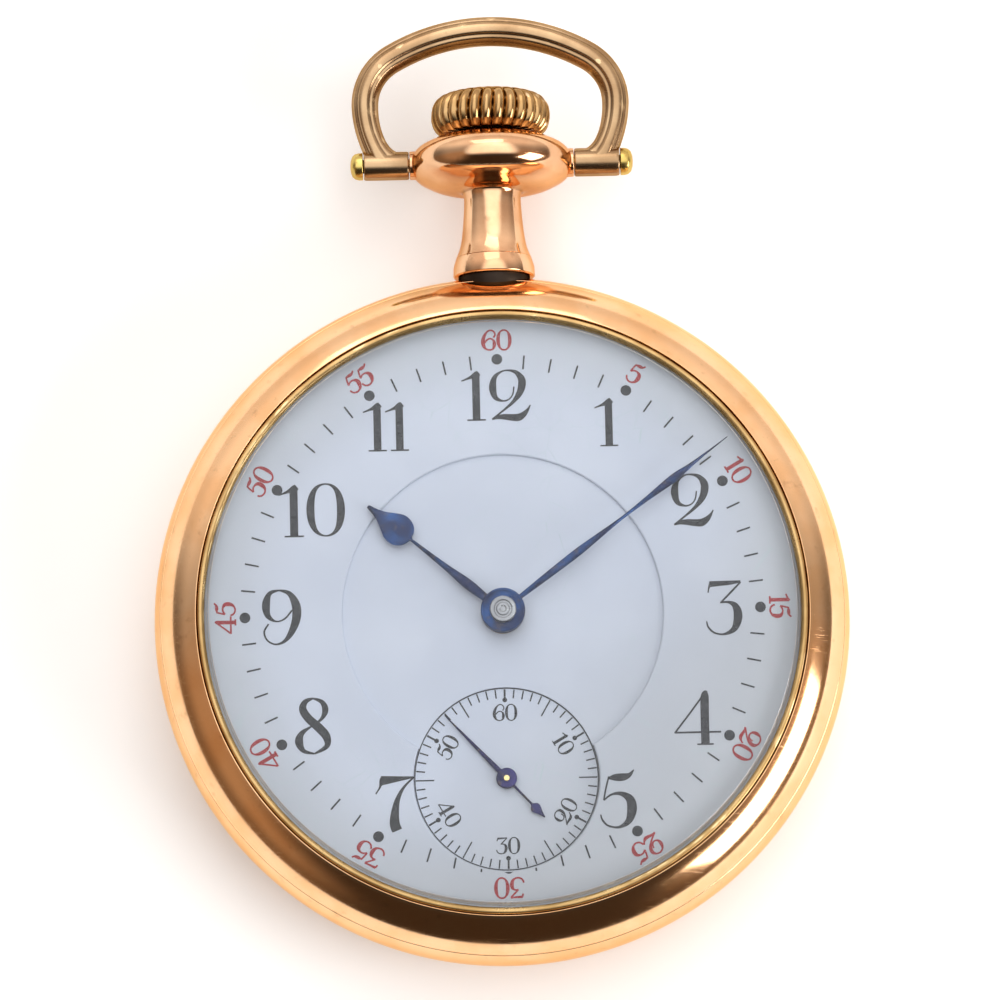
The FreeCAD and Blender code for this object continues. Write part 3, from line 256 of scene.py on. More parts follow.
# %% Dial enamel, printed ink and glass
def enamel():
    finish = Finish("fired_white_enamel")
    x, y, _ = finish.axes()
    from_centre = (x * x + y * y) ** 0.5
    rim = finish.step(from_centre, 15.0, 21.6)
    clouds = finish.noise(0.12, 3.0)
    colour = finish.mix(finish.step(clouds, 0.35, 0.7), (0.57, 0.62, 0.74), (0.62, 0.67, 0.79))
    colour = finish.mix(rim * 0.75, colour, (0.47, 0.50, 0.55))
    shaded = finish.step(x - y, 4.0, 24.0) * 0.7
    colour = finish.mix(shaded, colour, (0.44, 0.46, 0.50))
    bent = finish.add("VectorMath", {"operation": "ADD"}, {0: finish.place, 1: finish.add(
        "TexNoise", {}, {"Vector": finish.place, "Scale": 0.25, "Detail": 3.0}, output="Color")})
    cells = finish.add("TexVoronoi", {"feature": "DISTANCE_TO_EDGE"},
                       {"Vector": finish.stretch((0.1, 0.1, 0.0), where=bent)}, output="Distance")
    some = finish.step(finish.noise(0.09, 1.0), 0.5, 0.6)
    crack = finish.step(cells, 0.0, 0.012, 1.0, 0.0) * some
    colour = finish.mix(crack * 0.5, colour, (0.42, 0.56, 0.58))
    dirt = 0.0
    flat = {"voronoi_dimensions": "2D"}
    for scale, size, share in ((0.9, 0.075, 0.14), (2.3, 0.14, 0.08)):
        where = finish.stretch((scale, scale, 0.0))
        dots = finish.add("TexVoronoi", flat, {"Vector": where}, output="Distance")
        picked = finish.add("TexVoronoi", flat, {"Vector": where}, output="Color")
        chance = finish.add("SeparateColor", {}, {0: picked}, output="Red")
        some_cells = finish.step(chance, 1 - share, 1.0 - share + 0.02)
        dirt = dirt + finish.step(dots, size * 0.5, size, 1.0, 0.0) * some_cells
    worn = finish.step(finish.noise(0.16, 2.0), 0.45, 0.6)
    colour = finish.mix(dirt * worn * 0.75, colour, (0.16, 0.17, 0.2))
    wave = finish.noise(0.35, 2.0)
    normal = finish.bump(wave + dirt * -0.6, 0.012)
    return finish.show(finish.add("BsdfPrincipled", {}, {
        "Base Color": colour, "Roughness": finish.noise(1.5, 3.0) * 0.08 + 0.06, "Normal": normal,
        "IOR": 1.5, "Specular IOR Level": 0.35}))


def ink(name, full, faded):
    """Enamel paint fired onto the dial: slightly uneven, and thin where it is worn."""
    finish = Finish(name)
    uneven = finish.step(finish.noise(2.2, 5.0), 0.4, 0.75)
    specks = finish.step(finish.noise(14.0, 2.0), 0.66, 0.74)
    colour = finish.mix(uneven * 0.6 + specks * 0.3, full, faded)
    return finish.show(finish.add("BsdfPrincipled", {}, {
        "Base Color": colour, "Roughness": finish.noise(5.0, 2.0) * 0.2 + 0.18,
        "Normal": finish.bump(finish.noise(6.0, 3.0), 0.003), "Specular IOR Level": 0.3}))


def clear_glass():
    """Thin mineral glass: mostly see-through, with a reflection that grows towards grazing angles."""
    finish = Finish("watch_glass")
    smear = finish.noise(0.25, 4.0)
    dust = finish.step(finish.noise(9.0, 2.0), 0.7, 0.76)
    lines = scratches(finish, (25, 100, 160), across=30.0, along=0.25, keep=0.7)
    shine = finish.add("BsdfGlossy", {}, {"Color": (1.0, 1.0, 1.0), "Roughness": 0.02})
    through = finish.add("BsdfTransparent", {}, {"Color": (0.975, 0.985, 0.99)})
    share = finish.add("Fresnel", {}, {"IOR": 1.45}) * 0.5 + finish.step(smear, 0.5, 0.8) * 0.006
    share = share + lines * 0.02 + dust * 0.02
    return finish.show(finish.add("MixShader", {}, {0: share, 1: through, 2: shine}))


ENAMEL = enamel()
BLACK_INK = ink("fired_black_ink", (0.010, 0.011, 0.018), (0.045, 0.047, 0.06))
RED_INK = ink("fired_crimson_ink", (0.30, 0.008, 0.014), (0.42, 0.045, 0.06))
GLASS = clear_glass()

# %% [markdown]
# Blued steel gets its colour from a thin oxide made by heat, so it shifts between violet and bright
# blue, and spots of brown show where the oxide has failed. The movement is nickel with wide polished
# stripes, gilt brass wheels, plain steel and ruby jewels.

# %% Hand and movement finishes
def blued(name, deep, bright, stain_share=0.5):
    finish = Finish(name)
    tone = finish.step(finish.noise(0.7, 3.0), 0.35, 0.7)
    colour = finish.mix(tone, deep, bright)
    stain = finish.step(finish.noise(1.6, 6.0), 0.56, 0.66) * stain_share
    colour = finish.mix(stain, colour, (0.10, 0.075, 0.07))
    lines = scratches(finish, (30, 120), across=30.0, along=0.6)
    return finish.show(finish.add("BsdfPrincipled", {}, {
        "Base Color": colour, "Metallic": 0.85,
        "Roughness": finish.noise(6.0, 3.0) * 0.15 + stain * 0.25 + lines * 0.1 + 0.24,
        "Normal": finish.bump(finish.noise(9.0, 3.0) - lines, 0.003)}))


def worked_metal(name, light, dark, rough, brush=(0.6, 14.0, 0.6), turn=0.0, stripes=0.0):
    """Steel, brass or nickel with fine tool marks, and wide polished stripes where asked."""
    finish = Finish(name)
    tool = finish.noise(1.0, 3.0, finish.stretch(brush, (0, 0, turn)))
    patches = finish.noise(0.5, 3.0)
    tone = finish.step(patches, 0.35, 0.65) * 0.6 + tool * 0.4
    roughness = tool * 0.14 + finish.step(patches, 0.5, 0.7) * 0.08 + rough
    height = tool * 1.0
    if stripes:
        wave = finish.add("TexWave", {"bands_direction": "X", "wave_profile": "SAW"},
                          {"Vector": finish.stretch((1, 1, 1), (0, 0, turn)), "Scale": stripes,
                           "Distortion": 0.3}, output="Fac")
        tone = tone * 0.5 + wave * 0.5
        roughness = roughness + wave * 0.12
        height = height + wave * 3.0
    colour = finish.mix(tone, light, dark)
    stain = finish.step(finish.noise(2.3, 5.0), 0.62, 0.75) * 0.5
    colour = finish.mix(stain, colour, [part * 0.45 for part in dark])
    return finish.show(finish.add("BsdfPrincipled", {}, {
        "Base Color": colour, "Metallic": 1.0, "Roughness": roughness + stain * 0.2,
        "Normal": finish.bump(height, 0.003)}))


def ruby():
    finish = Finish("ruby_jewel")
    veins = finish.noise(3.0, 4.0)
    colour = finish.mix(finish.step(veins, 0.4, 0.7), (0.45, 0.01, 0.05), (0.75, 0.05, 0.16))
    return finish.show(finish.add("BsdfPrincipled", {}, {
        "Base Color": colour, "Roughness": veins * 0.08 + 0.04,
        "Normal": finish.bump(veins, 0.001), "Coat Weight": 0.6, "IOR": 1.76}))


BLUED = blued("blued_steel", (0.007, 0.016, 0.065), (0.013, 0.06, 0.20))
DARK_BLUED = blued("old_blued_steel", (0.010, 0.010, 0.05), (0.035, 0.03, 0.14), 0.8)
NICKEL = worked_metal("striped_nickel", (0.74, 0.72, 0.68), (0.58, 0.56, 0.53), 0.14, turn=35, stripes=0.32)
STEEL = worked_metal("polished_steel", (0.50, 0.50, 0.52), (0.34, 0.34, 0.36), 0.16)
CAP_STEEL = worked_metal("dull_cap_steel", (0.36, 0.37, 0.39), (0.22, 0.22, 0.24), 0.22)
BRASS = worked_metal("gilt_brass", (0.88, 0.68, 0.34), (0.76, 0.54, 0.24), 0.2)
COPPER = worked_metal("plain_copper", (0.80, 0.42, 0.27), (0.62, 0.30, 0.18), 0.3)
RUBY = ruby()

# %% [markdown]
# The parts inside the case keep their measured solids: gear teeth and bridges are already right.
# Only their material slots change.

# %% Dress the movement
MOVEMENT = {
    "pillar_plate": NICKEL, "barrel_bridge": NICKEL, "train_bridge": NICKEL, "balance_cock": NICKEL,
    "pallet_bridge": NICKEL, "bridge_screws": BLUED, "case_screws": BLUED, "plate_jewels": RUBY,
    "bridge_jewels": RUBY, "pallet_stones": RUBY, "dial_feet": COPPER, "minute_post": STEEL,
    "crown_wheel_post": STEEL, "click_screw": BLUED, "click_spring": BLUED, "hairspring": BLUED,
    "hairspring_stud": STEEL, "pendant_sleeve": STEEL, "winding_pinion": STEEL, "clutch_wheel": STEEL,
    "stem": STEEL, "crown_wheel": STEEL, "barrel_arbor": STEEL, "ratchet_wheel": STEEL,
    "ratchet_screw": BLUED, "click": STEEL, "barrel": BRASS, "barrel_cover": BRASS, "mainspring": BLUED,
    "centre_arbor": STEEL, "centre_wheel": BRASS, "minute_wheel": BRASS, "hour_wheel": BRASS,
    "third_arbor": STEEL, "third_wheel": BRASS, "fourth_arbor": BRASS, "fourth_wheel": BRASS,
    "escape_arbor": STEEL, "escape_wheel": STEEL, "pallet_fork": STEEL, "pallet_arbor": STEEL,
    "balance_wheel": BRASS, "balance_screws": BRASS, "balance_staff": STEEL, "regulator": STEEL,
}
for node, metal in MOVEMENT.items():
    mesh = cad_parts[node].data
    mesh.materials.clear()
    mesh.materials.append(metal)
print("dressed", len(MOVEMENT), "movement parts")

# %% [markdown]
# A watch case is turned on a lathe, so most of it is a profile spun round an axis. A sharp profile
# corner looks false in metal, because every real edge is broken slightly and catches a thin line of
# light. soften() rounds each corner of a closed profile, and spin() makes the solid.

# %% Turned shapes
def arc(centre, radius, start, end, count=24):
    """Points on a circle between two angles in degrees."""
    angles = [math.radians(start + (end - start) * step / count) for step in range(count + 1)]
    return [(centre[0] + radius * math.cos(a), centre[1] + radius * math.sin(a)) for a in angles]


def soften(corners, cut=0.05, steps=4):
    """Round the sharp corners of a closed profile by a short curve."""
    smooth = []
    for number, corner in enumerate(corners):
        here = Vector(corner)
        back = Vector(corners[number - 1]) - here
        ahead = Vector(corners[(number + 1) % len(corners)]) - here
        if back.length < 1e-6 or ahead.length < 1e-6:
            continue
        if back.angle(ahead) > math.radians(158):
            smooth.append(tuple(here))
            continue
        start = here + back * min(cut / back.length, 0.45)
        end = here + ahead * min(cut / ahead.length, 0.45)
        for step in range(steps + 1):
            t = step / steps
            smooth.append(tuple(start * (1 - t) ** 2 + here * 2 * t * (1 - t) + end * t ** 2))
    return smooth


def about_z(radius, along, turn):
    return (radius * math.cos(turn), radius * math.sin(turn), along)


def about_pendant(radius, along, turn):
    return (radius * math.cos(turn), along, MID_Z + radius * math.sin(turn))


def about_bow(radius, along, turn):
    return (along, BOW_Y + radius * math.cos(turn), MID_Z + radius * math.sin(turn))


def spin(profile, axis=about_z, steps=256):
    """A closed profile of (radius, distance along the axis) turned once round."""
    count = len(profile)
    points = [axis(radius, along, 2 * math.pi * step / steps)
              for step in range(steps) for radius, along in profile]
    faces = []
    for step in range(steps):
        here, ahead = step * count, (step + 1) % steps * count
        for k in range(count):
            after = (k + 1) % count
            faces.append((here + k, here + after, ahead + after, ahead + k))
    return points, faces


def piece(name, shapes, metal, body, node=None, sharp=40):
    """Join shapes into one object that rides on a body and stands for a measured node."""
    points, faces = [], []
    for shape_points, shape_faces in shapes:
        start = len(points)
        points += [tuple(v * MM for v in point) for point in shape_points]
        faces += [tuple(index + start for index in face) for face in shape_faces]
    mesh = bpy.data.meshes.new(name)
    mesh.from_pydata(points, [], faces)
    work = bmesh.new()
    work.from_mesh(mesh)
    bmesh.ops.remove_doubles(work, verts=work.verts, dist=2e-7)
    bmesh.ops.recalc_face_normals(work, faces=work.faces)
    work.to_mesh(mesh)
    work.free()
    mesh.shade_smooth()
    mesh.set_sharp_from_angle(angle=math.radians(sharp))
    return seat(bpy.data.objects.new(name, mesh), metal, body, node)


def seat(thing, metal, body, node=None):
    bpy.context.scene.collection.objects.link(thing)
    thing.data.materials.append(metal)
    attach(thing, body)
    if node:
        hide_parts(node)
    print("piece", thing.name, len(thing.data.vertices), "points")
    return thing


print("lathe ready")

# %% [markdown]
# The case is three turned parts. The back is a shallow dish, the middle is a plain rounded band and
# the bezel is a round ring that holds the glass. A thin dark seam shows where two of them meet,
# so each keeps its own object and its own softened edges.

# %% Case back, band and bezel
BACK_HIGH = box_mm("case_back")[1]
BEZEL_EDGE_Z = box_mm("bezel")[0].z
BEZEL_ARC = 4.8
BEZEL_CENTRE = (CASE_R - BEZEL_ARC, MID_Z)
BACK_FLAT_R = 12.0
BACK_DOME_R = 20.5
BACK_DOME_RISE = 0.7
WALL = 0.65
THREAD_R = 22.9
DOME_SPAN = BACK_DOME_R - BACK_FLAT_R
DOME_ARC = (DOME_SPAN ** 2 + BACK_DOME_RISE ** 2) / (2 * BACK_DOME_RISE)
DOME_SLOPE = math.degrees(math.asin(DOME_SPAN / DOME_ARC))
EDGE_ARC = (CASE_R - BACK_DOME_R) / (1 - math.sin(math.radians(DOME_SLOPE)))
EDGE_CENTRE = (CASE_R - EDGE_ARC, MID_Z)


def edge_angle(z, centre, radius):
    return math.degrees(math.asin((z - centre[1]) / radius))


def back_profile():
    rim = edge_angle(BACK_HIGH.z, EDGE_CENTRE, EDGE_ARC)
    outer = arc((BACK_FLAT_R, DOME_ARC), DOME_ARC, -90, DOME_SLOPE - 90, 16)
    outer += arc(EDGE_CENTRE, EDGE_ARC, DOME_SLOPE - 90, rim, 40)[1:]
    bore_r = THREAD_R + 0.05
    inner_arc = EDGE_ARC - WALL
    bore_turn = -math.degrees(math.acos((bore_r - EDGE_CENTRE[0]) / inner_arc))
    inner = [(bore_r, BACK_HIGH.z)] + arc(EDGE_CENTRE, inner_arc, bore_turn, DOME_SLOPE - 90, 30)
    inner += arc((BACK_FLAT_R, DOME_ARC), DOME_ARC - WALL, DOME_SLOPE - 90, -90, 16)[1:]
    return soften([(0, 0)] + outer + inner + [(0, WALL)])


def band_profile():
    low, high = box_mm("case_middle")[0].z, BEZEL_EDGE_Z - 0.08
    seam = BACK_HIGH.z + 0.08
    outer = arc(EDGE_CENTRE, EDGE_ARC, edge_angle(seam, EDGE_CENTRE, EDGE_ARC), 0, 16)
    outer += arc(BEZEL_CENTRE, BEZEL_ARC, 0, edge_angle(high, BEZEL_CENTRE, BEZEL_ARC), 16)[1:]
    seat_z = DIAL_Z - 0.8
    inner = [(THREAD_R, high), (THREAD_R, DIAL_Z - 0.1), (DIAL_R + 0.1, DIAL_Z - 0.1),
             (DIAL_R + 0.1, seat_z), (21.65, seat_z), (21.65, low), (THREAD_R, low), (THREAD_R, seam)]
    return soften(outer + inner)


LIP_GROOVE_R = 22.1
LIP_INNER_R = 21.5


def bezel_profiles():
    """The round of the bezel down to its groove, and the narrow lip inside it."""
    low = edge_angle(BEZEL_EDGE_Z, BEZEL_CENTRE, BEZEL_ARC)
    high = math.degrees(math.acos((LIP_GROOVE_R - BEZEL_CENTRE[0]) / BEZEL_ARC))
    body = arc(BEZEL_CENTRE, BEZEL_ARC, low, high, 48)
    top = body[-1][1]
    under = DIAL_Z + 0.08
    ring = body + [(22.05, top - 0.12), (22.02, top - 0.4), (22.02, under), (22.95, under),
                   (22.95, BEZEL_EDGE_Z)]
    lip = [(22.02, top - 0.4), (21.99, top - 0.1), (21.93, top - 0.03), (21.82, top + 0.01),
           (21.7, top + 0.01), (21.58, top - 0.04), (LIP_INNER_R, top - 0.12), (LIP_INNER_R, 10.33),
           (21.8, 10.26), (21.8, 9.95), (LIP_INNER_R, 9.95), (LIP_INNER_R, under), (22.02, under)]
    return soften(ring, 0.05), soften(lip, 0.04)


def worn_lip(shape, depth=0.03):
    """Small dents that a century of cases and pockets leaves in the crest of a thin lip."""
    points, faces = shape
    dented = []
    for x, y, z in points:
        turn = math.atan2(y, x)
        dent = sum(math.sin(turn * rate + rate) for rate in (31, 53, 87, 131)) / 4
        near_top = max(0.0, min(1.0, (z - 10.4) / 0.2))
        dented.append((x, y, z - depth * near_top * (0.5 + 0.5 * dent)))
    return dented, faces


piece("back", [spin(back_profile(), steps=320)], ROSE_GOLD, "back", "case_back")
piece("band", [spin(band_profile(), steps=320)], ROSE_GOLD, "case", "case_middle")
ring_profile, lip_profile = bezel_profiles()
piece("bezel_ring", [spin(ring_profile, steps=384)], ROSE_GOLD, "bezel", "bezel")
piece("bezel_lip", [worn_lip(spin(lip_profile, steps=640))], LIP_GOLD, "bezel")

# %% [markdown]
# The glass is a low dome with a bevelled edge, held in a groove under the lip. It is a closed shell
# with an outer and an inner face, so both of them reflect, as in a real crystal.

# %% Glass
def cap(top, rim, count=40):
    """Points down a shallow ball from its top on the axis to a rim."""
    sag = top - rim[1]
    radius = (rim[0] ** 2 + sag ** 2) / (2 * sag)
    span = math.asin(rim[0] / radius)
    return [(radius * math.sin(span * k / count), top - radius + radius * math.cos(span * k / count))
            for k in range(count + 1)]


SHOULDER = (21.3, 11.55)
GLASS_SEAT_Z = 9.97
glass_edge = [(LIP_INNER_R - 0.03, GLASS_SEAT_Z + 0.25), (21.77, GLASS_SEAT_Z + 0.25), (21.77, GLASS_SEAT_Z),
              (SHOULDER[0], GLASS_SEAT_Z)]
inner_cap = cap(GLASS_TOP_Z - 0.55, (SHOULDER[0] - 0.12, SHOULDER[1] - 0.43))
glass_profile = soften(cap(GLASS_TOP_Z, SHOULDER) + glass_edge + inner_cap[::-1], 0.16, 6)
piece("glass", [spin(glass_profile, steps=256)], GLASS, "bezel", "crystal", sharp=60)

# %% [markdown]
# The dial is made of three enamel plates: the outer ring, a sunk middle and a deeper sunk seconds
# dial. Melted enamel draws back from an edge, so each plate has a rounded border. A filled curve
# with a small bevel gives exactly that, and its offset keeps the size true.

# %% Dial plates
def circle(radius, centre=(0, 0), count=180):
    return [(centre[0] + radius * math.cos(2 * math.pi * k / count),
             centre[1] + radius * math.sin(2 * math.pi * k / count)) for k in range(count)]


def plate(name, outlines, top, thickness, edge, node):
    curve = bpy.data.curves.new(name, "CURVE")
    curve.dimensions = "2D"
    curve.fill_mode = "BOTH"
    curve.extrude = (thickness / 2 - edge) * MM
    curve.bevel_depth = edge * MM
    curve.bevel_resolution = 4
    curve.offset = -edge * MM
    for outline in outlines:
        spline = curve.splines.new("POLY")
        spline.points.add(len(outline) - 1)
        for point, (x, y) in zip(spline.points, outline):
            point.co = (x * MM, y * MM, 0, 1)
        spline.use_cyclic_u = True
    holder = bpy.data.objects.new(name + "_curve", curve)
    bpy.context.scene.collection.objects.link(holder)
    bpy.context.view_layer.update()
    mesh = bpy.data.meshes.new_from_object(holder.evaluated_get(bpy.context.evaluated_depsgraph_get()))
    bpy.data.objects.remove(holder)
    mesh.materials.clear()
    mesh.transform(Matrix.Translation((0, 0, (top - thickness / 2) * MM)))
    mesh.shade_smooth()
    mesh.set_sharp_from_angle(angle=math.radians(50))
    return seat(bpy.data.objects.new(name, mesh), ENAMEL, "case", node)


SECONDS_CENTRE = (0, SECONDS_Y)


def sunk_outline(gap, around_seconds):
    """The middle plate's border, with the seconds dial taken in (1) or left out (-1)."""
    big, small = CENTRE_R - gap, SECONDS_R - gap * around_seconds
    meet = (big ** 2 - small ** 2 + SECONDS_Y ** 2) / (2 * SECONDS_Y)
    half = math.degrees(math.acos(meet / -big))
    turn = math.degrees(math.atan2(meet - SECONDS_Y, math.sqrt(big ** 2 - meet ** 2)))
    outline = arc((0, 0), big, half - 90, 270 - half, 240)
    if around_seconds > 0:
        return outline + arc(SECONDS_CENTRE, small, 180 - turn, 360 + turn, 200)[1:-1]
    return outline + arc(SECONDS_CENTRE, small, 180 - turn, turn, 120)[1:-1]


plate("dial_outer", [circle(DIAL_R - 0.02, count=360), sunk_outline(0.0, 1)], DIAL_Z, 0.8, 0.14, "dial_ring")
plate("dial_middle", [sunk_outline(-0.05, -1), circle(1.5)], CENTRE_Z, 0.7, 0.03, "dial_centre")
plate("dial_small", [circle(SECONDS_R - 0.03, SECONDS_CENTRE), circle(0.45, SECONDS_CENTRE, 60)],
      SECONDS_Z, 0.6, 0.05, "dial_seconds")

# %% [markdown]
# The figures are painted with a brush, thick where the hand moves down and hair thin elsewhere.
# Each figure is therefore a few strokes: a list of points with the width of the stroke at each.
# A smooth curve runs through the points, and the stroke becomes a very thin solid on the enamel.

# %% Strokes of the figures
THICK = 0.135
HAIR = 0.026


def oval(x, y, across, up, thick=THICK, start=90, sweep=360, count=28):
    """Points round an oval, thick at the sides and thin at top and bottom."""
    points = []
    for k in range(count + 1):
        turn = math.radians(start + sweep * k / count)
        side = abs(math.cos(turn)) ** 1.7
        width = HAIR + (thick - HAIR) * side
        reach, rise = across - width / 2, up - HAIR / 2
        points.append((x + reach * math.cos(turn), y + rise * math.sin(turn), width))
    return points


FIGURES = {
    "0": (0.70, [oval(0.35, 0.5, 0.35, 0.5)]),
    "1": (0.39, [[(0.2, 0.03, THICK), (0.2, 0.45, THICK), (0.2, 0.86, THICK)],
                 [(-0.08, 0.79, 0.02), (0.08, 0.85, 0.05), (0.2, 0.9, 0.12), (0.262, 0.945, 0.10)],
                 [(0.02, 0.013, 0.026), (0.2, 0.014, 0.03), (0.38, 0.013, 0.026)]]),
    "2": (0.80, [[(0.50, 0.66, 0.02), (0.47, 0.50, 0.024), (0.38, 0.40, 0.026), (0.25, 0.385, 0.04),
                  (0.13, 0.46, 0.09), (0.085, 0.65, 0.13), (0.13, 0.85, 0.08), (0.25, 0.955, 0.035),
                  (0.38, 0.985, 0.03), (0.54, 0.945, 0.07), (0.645, 0.82, 0.125), (0.655, 0.68, 0.135),
                  (0.60, 0.52, 0.11), (0.47, 0.35, 0.06), (0.27, 0.18, 0.035), (0.07, 0.03, 0.024)],
                 [(0.06, 0.02, 0.03), (0.17, 0.06, 0.07), (0.30, 0.065, 0.10), (0.45, 0.05, 0.12),
                  (0.58, 0.05, 0.13), (0.68, 0.11, 0.10), (0.76, 0.2, 0.05), (0.81, 0.29, 0.015)]]),
    "3": (0.66, [[(0.05, 0.78, 0.02), (0.07, 0.88, 0.03), (0.10, 0.95, 0.05)],
                 [(0.08, 0.935, 0.10), (0.25, 0.945, 0.085), (0.45, 0.955, 0.07), (0.64, 0.975, 0.035)],
                 [(0.64, 0.965, 0.03), (0.47, 0.79, 0.032), (0.28, 0.60, 0.03)],
                 [(0.26, 0.595, 0.025), (0.42, 0.60, 0.045), (0.54, 0.52, 0.11), (0.58, 0.34, 0.145),
                  (0.51, 0.12, 0.10), (0.33, 0.02, 0.04), (0.15, 0.045, 0.03), (0.04, 0.15, 0.03),
                  (0.01, 0.26, 0.02)]]),
    "4": (0.85, [[(0.56, 0.02, 0.14), (0.56, 0.5, 0.14), (0.57, 0.9, 0.13), (0.61, 0.99, 0.03)],
                 [(0.58, 0.97, 0.03), (0.30, 0.60, 0.03), (0.02, 0.245, 0.03)],
                 [(0.0, 0.235, 0.03), (0.40, 0.235, 0.032), (0.85, 0.235, 0.03)],
                 [(0.41, 0.013, 0.026), (0.56, 0.014, 0.03), (0.71, 0.013, 0.026)]]),
    "5": (0.63, [[(0.06, 0.50, 0.028), (0.10, 0.70, 0.028), (0.16, 0.92, 0.028)],
                 [(0.15, 0.89, 0.03), (0.27, 0.90, 0.11), (0.41, 0.905, 0.12), (0.52, 0.94, 0.07),
                  (0.60, 1.03, 0.015)],
                 [(0.06, 0.50, 0.025), (0.20, 0.60, 0.035), (0.37, 0.61, 0.07), (0.52, 0.51, 0.135),
                  (0.55, 0.32, 0.155), (0.48, 0.12, 0.10), (0.31, 0.02, 0.04), (0.13, 0.05, 0.032),
                  (0.03, 0.15, 0.03), (0.0, 0.25, 0.02)]]),
    "7": (0.66, [[(0.10, 0.985, 0.03), (0.095, 0.92, 0.07), (0.06, 0.80, 0.03), (-0.01, 0.69, 0.018)],
                 [(0.09, 0.915, 0.145), (0.25, 0.93, 0.11), (0.42, 0.945, 0.07), (0.64, 0.965, 0.025)],
                 [(0.64, 0.965, 0.025), (0.47, 0.80, 0.04), (0.36, 0.60, 0.075), (0.31, 0.38, 0.12),
                  (0.30, 0.18, 0.155), (0.34, 0.06, 0.16)]]),
    "8": (0.65, [[(0.33, 0.985, 0.03), (0.20, 0.93, 0.08), (0.15, 0.80, 0.12), (0.24, 0.64, 0.13),
                  (0.42, 0.47, 0.14), (0.55, 0.31, 0.13), (0.55, 0.14, 0.08), (0.34, 0.015, 0.028)],
                 [(0.33, 0.985, 0.028), (0.48, 0.92, 0.07), (0.54, 0.78, 0.10), (0.47, 0.62, 0.05),
                  (0.30, 0.50, 0.028), (0.13, 0.38, 0.08), (0.075, 0.23, 0.13), (0.15, 0.07, 0.07),
                  (0.34, 0.015, 0.028)]]),
    "9": (0.68, [[(0.31, 0.985, 0.03), (0.49, 0.92, 0.08), (0.60, 0.72, 0.14), (0.605, 0.47, 0.14),
                  (0.51, 0.22, 0.10), (0.38, 0.06, 0.05), (0.22, 0.013, 0.028), (0.08, 0.09, 0.028),
                  (0.03, 0.24, 0.03), (0.11, 0.38, 0.028)],
                 [(0.31, 0.985, 0.028), (0.14, 0.93, 0.07), (0.07, 0.73, 0.13), (0.10, 0.53, 0.09),
                  (0.24, 0.425, 0.028), (0.40, 0.47, 0.028), (0.53, 0.62, 0.028)]]),
}
nine_width, nine_strokes = FIGURES["9"]
FIGURES["6"] = (nine_width, [[(nine_width - x, 1 - y, w) for x, y, w in stroke] for stroke in nine_strokes])
print("figures drawn", "".join(sorted(FIGURES)))

# %% [markdown]
# A stroke is a row of points with a width, so the brush walks along a smooth curve through them and
# lays a strip to its left and right. The strip is given a height of a few hundredths of a millimetre.

# %% Turn strokes into thin solids
def through(points, steps=6):
    """A smooth curve through points, by Catmull and Rom's rule; every number is smoothed alike."""
    smooth = []
    padded = [points[0]] + list(points) + [points[-1]]
    for a, b, c, d in zip(padded, padded[1:], padded[2:], padded[3:]):
        for step in range(steps):
            t = step / steps
            smooth.append(tuple(
                0.5 * (2 * q + (r - p) * t + (2 * p - 5 * q + 4 * r - s) * t * t
                       + (3 * q - p - 3 * r + s) * t ** 3) for p, q, r, s in zip(a, b, c, d)))
    return smooth + [tuple(points[-1])]


def ribbon(points, low, high):
    """A thin solid along points of (x, y, width)."""
    sides = []
    for number, (x, y, width) in enumerate(points):
        before, after = points[max(number - 1, 0)], points[min(number + 1, len(points) - 1)]
        run = Vector((after[0] - before[0], after[1] - before[1])).normalized() * width / 2
        sides.append(((x - run.y, y + run.x), (x + run.y, y - run.x)))
    solid = []
    for left, right in sides:
        solid += [(*left, low), (*right, low), (*right, high), (*left, high)]
    faces = [(3, 2, 1, 0), tuple(len(solid) - 4 + k for k in range(4))]
    for row in range(len(sides) - 1):
        a, b = 4 * row, 4 * row + 4
        faces += [(a + k, a + (k + 1) % 4, b + (k + 1) % 4, b + k) for k in range(4)]
    return solid, faces


def slab(outline, low, high):
    """A flat outline raised into a thin solid."""
    count = len(outline)
    points = [(x, y, low) for x, y in outline] + [(x, y, high) for x, y in outline]
    faces = [tuple(range(count))[::-1], tuple(range(count, 2 * count))]
    faces += [(k, (k + 1) % count, count + (k + 1) % count, count + k) for k in range(count)]
    return points, faces


PRINT = 0.012
LAYER = 0.0008


def figures(text, centre, height, turn, level, least=0.0, bold=1.0):
    """The strokes of a number, centred on a point and turned clockwise by turn degrees."""
    gap = 0.05
    width = sum(FIGURES[sign][0] for sign in text) + gap * (len(text) - 1)
    spin_by = math.radians(-turn)
    start = -width / 2
    solids = []
    for sign in text:
        for stroke in FIGURES[sign][1]:
            placed = []
            for x, y, w in through(stroke):
                across, up = (start + x) * height, (y - 0.5) * height
                placed.append((centre[0] + across * math.cos(spin_by) - up * math.sin(spin_by),
                               centre[1] + across * math.sin(spin_by) + up * math.cos(spin_by),
                               max(w * height * bold, least)))
            solids.append(ribbon(placed, level - PRINT, level + PRINT + LAYER * len(solids)))
        start += FIGURES[sign][0] + gap
    return solids


def on_dial(radius, turn, centre=(0, 0)):
    """A point at a clockwise angle from twelve."""
    angle = math.radians(turn)
    return (centre[0] + radius * math.sin(angle), centre[1] + radius * math.cos(angle))


def tick(inner, outer, turn, width, level, centre=(0, 0)):
    a, b = on_dial(inner, turn, centre), on_dial(outer, turn, centre)
    return ribbon([(*a, width), (*b, width)], level - PRINT, level + PRINT)


print("brush ready")

# %% [markdown]
# The chapter has hour figures, a crimson number every five minutes with its top to the rim, a black
# dot beside each, and plain ticks between. The six is missing, because the seconds dial stands there.

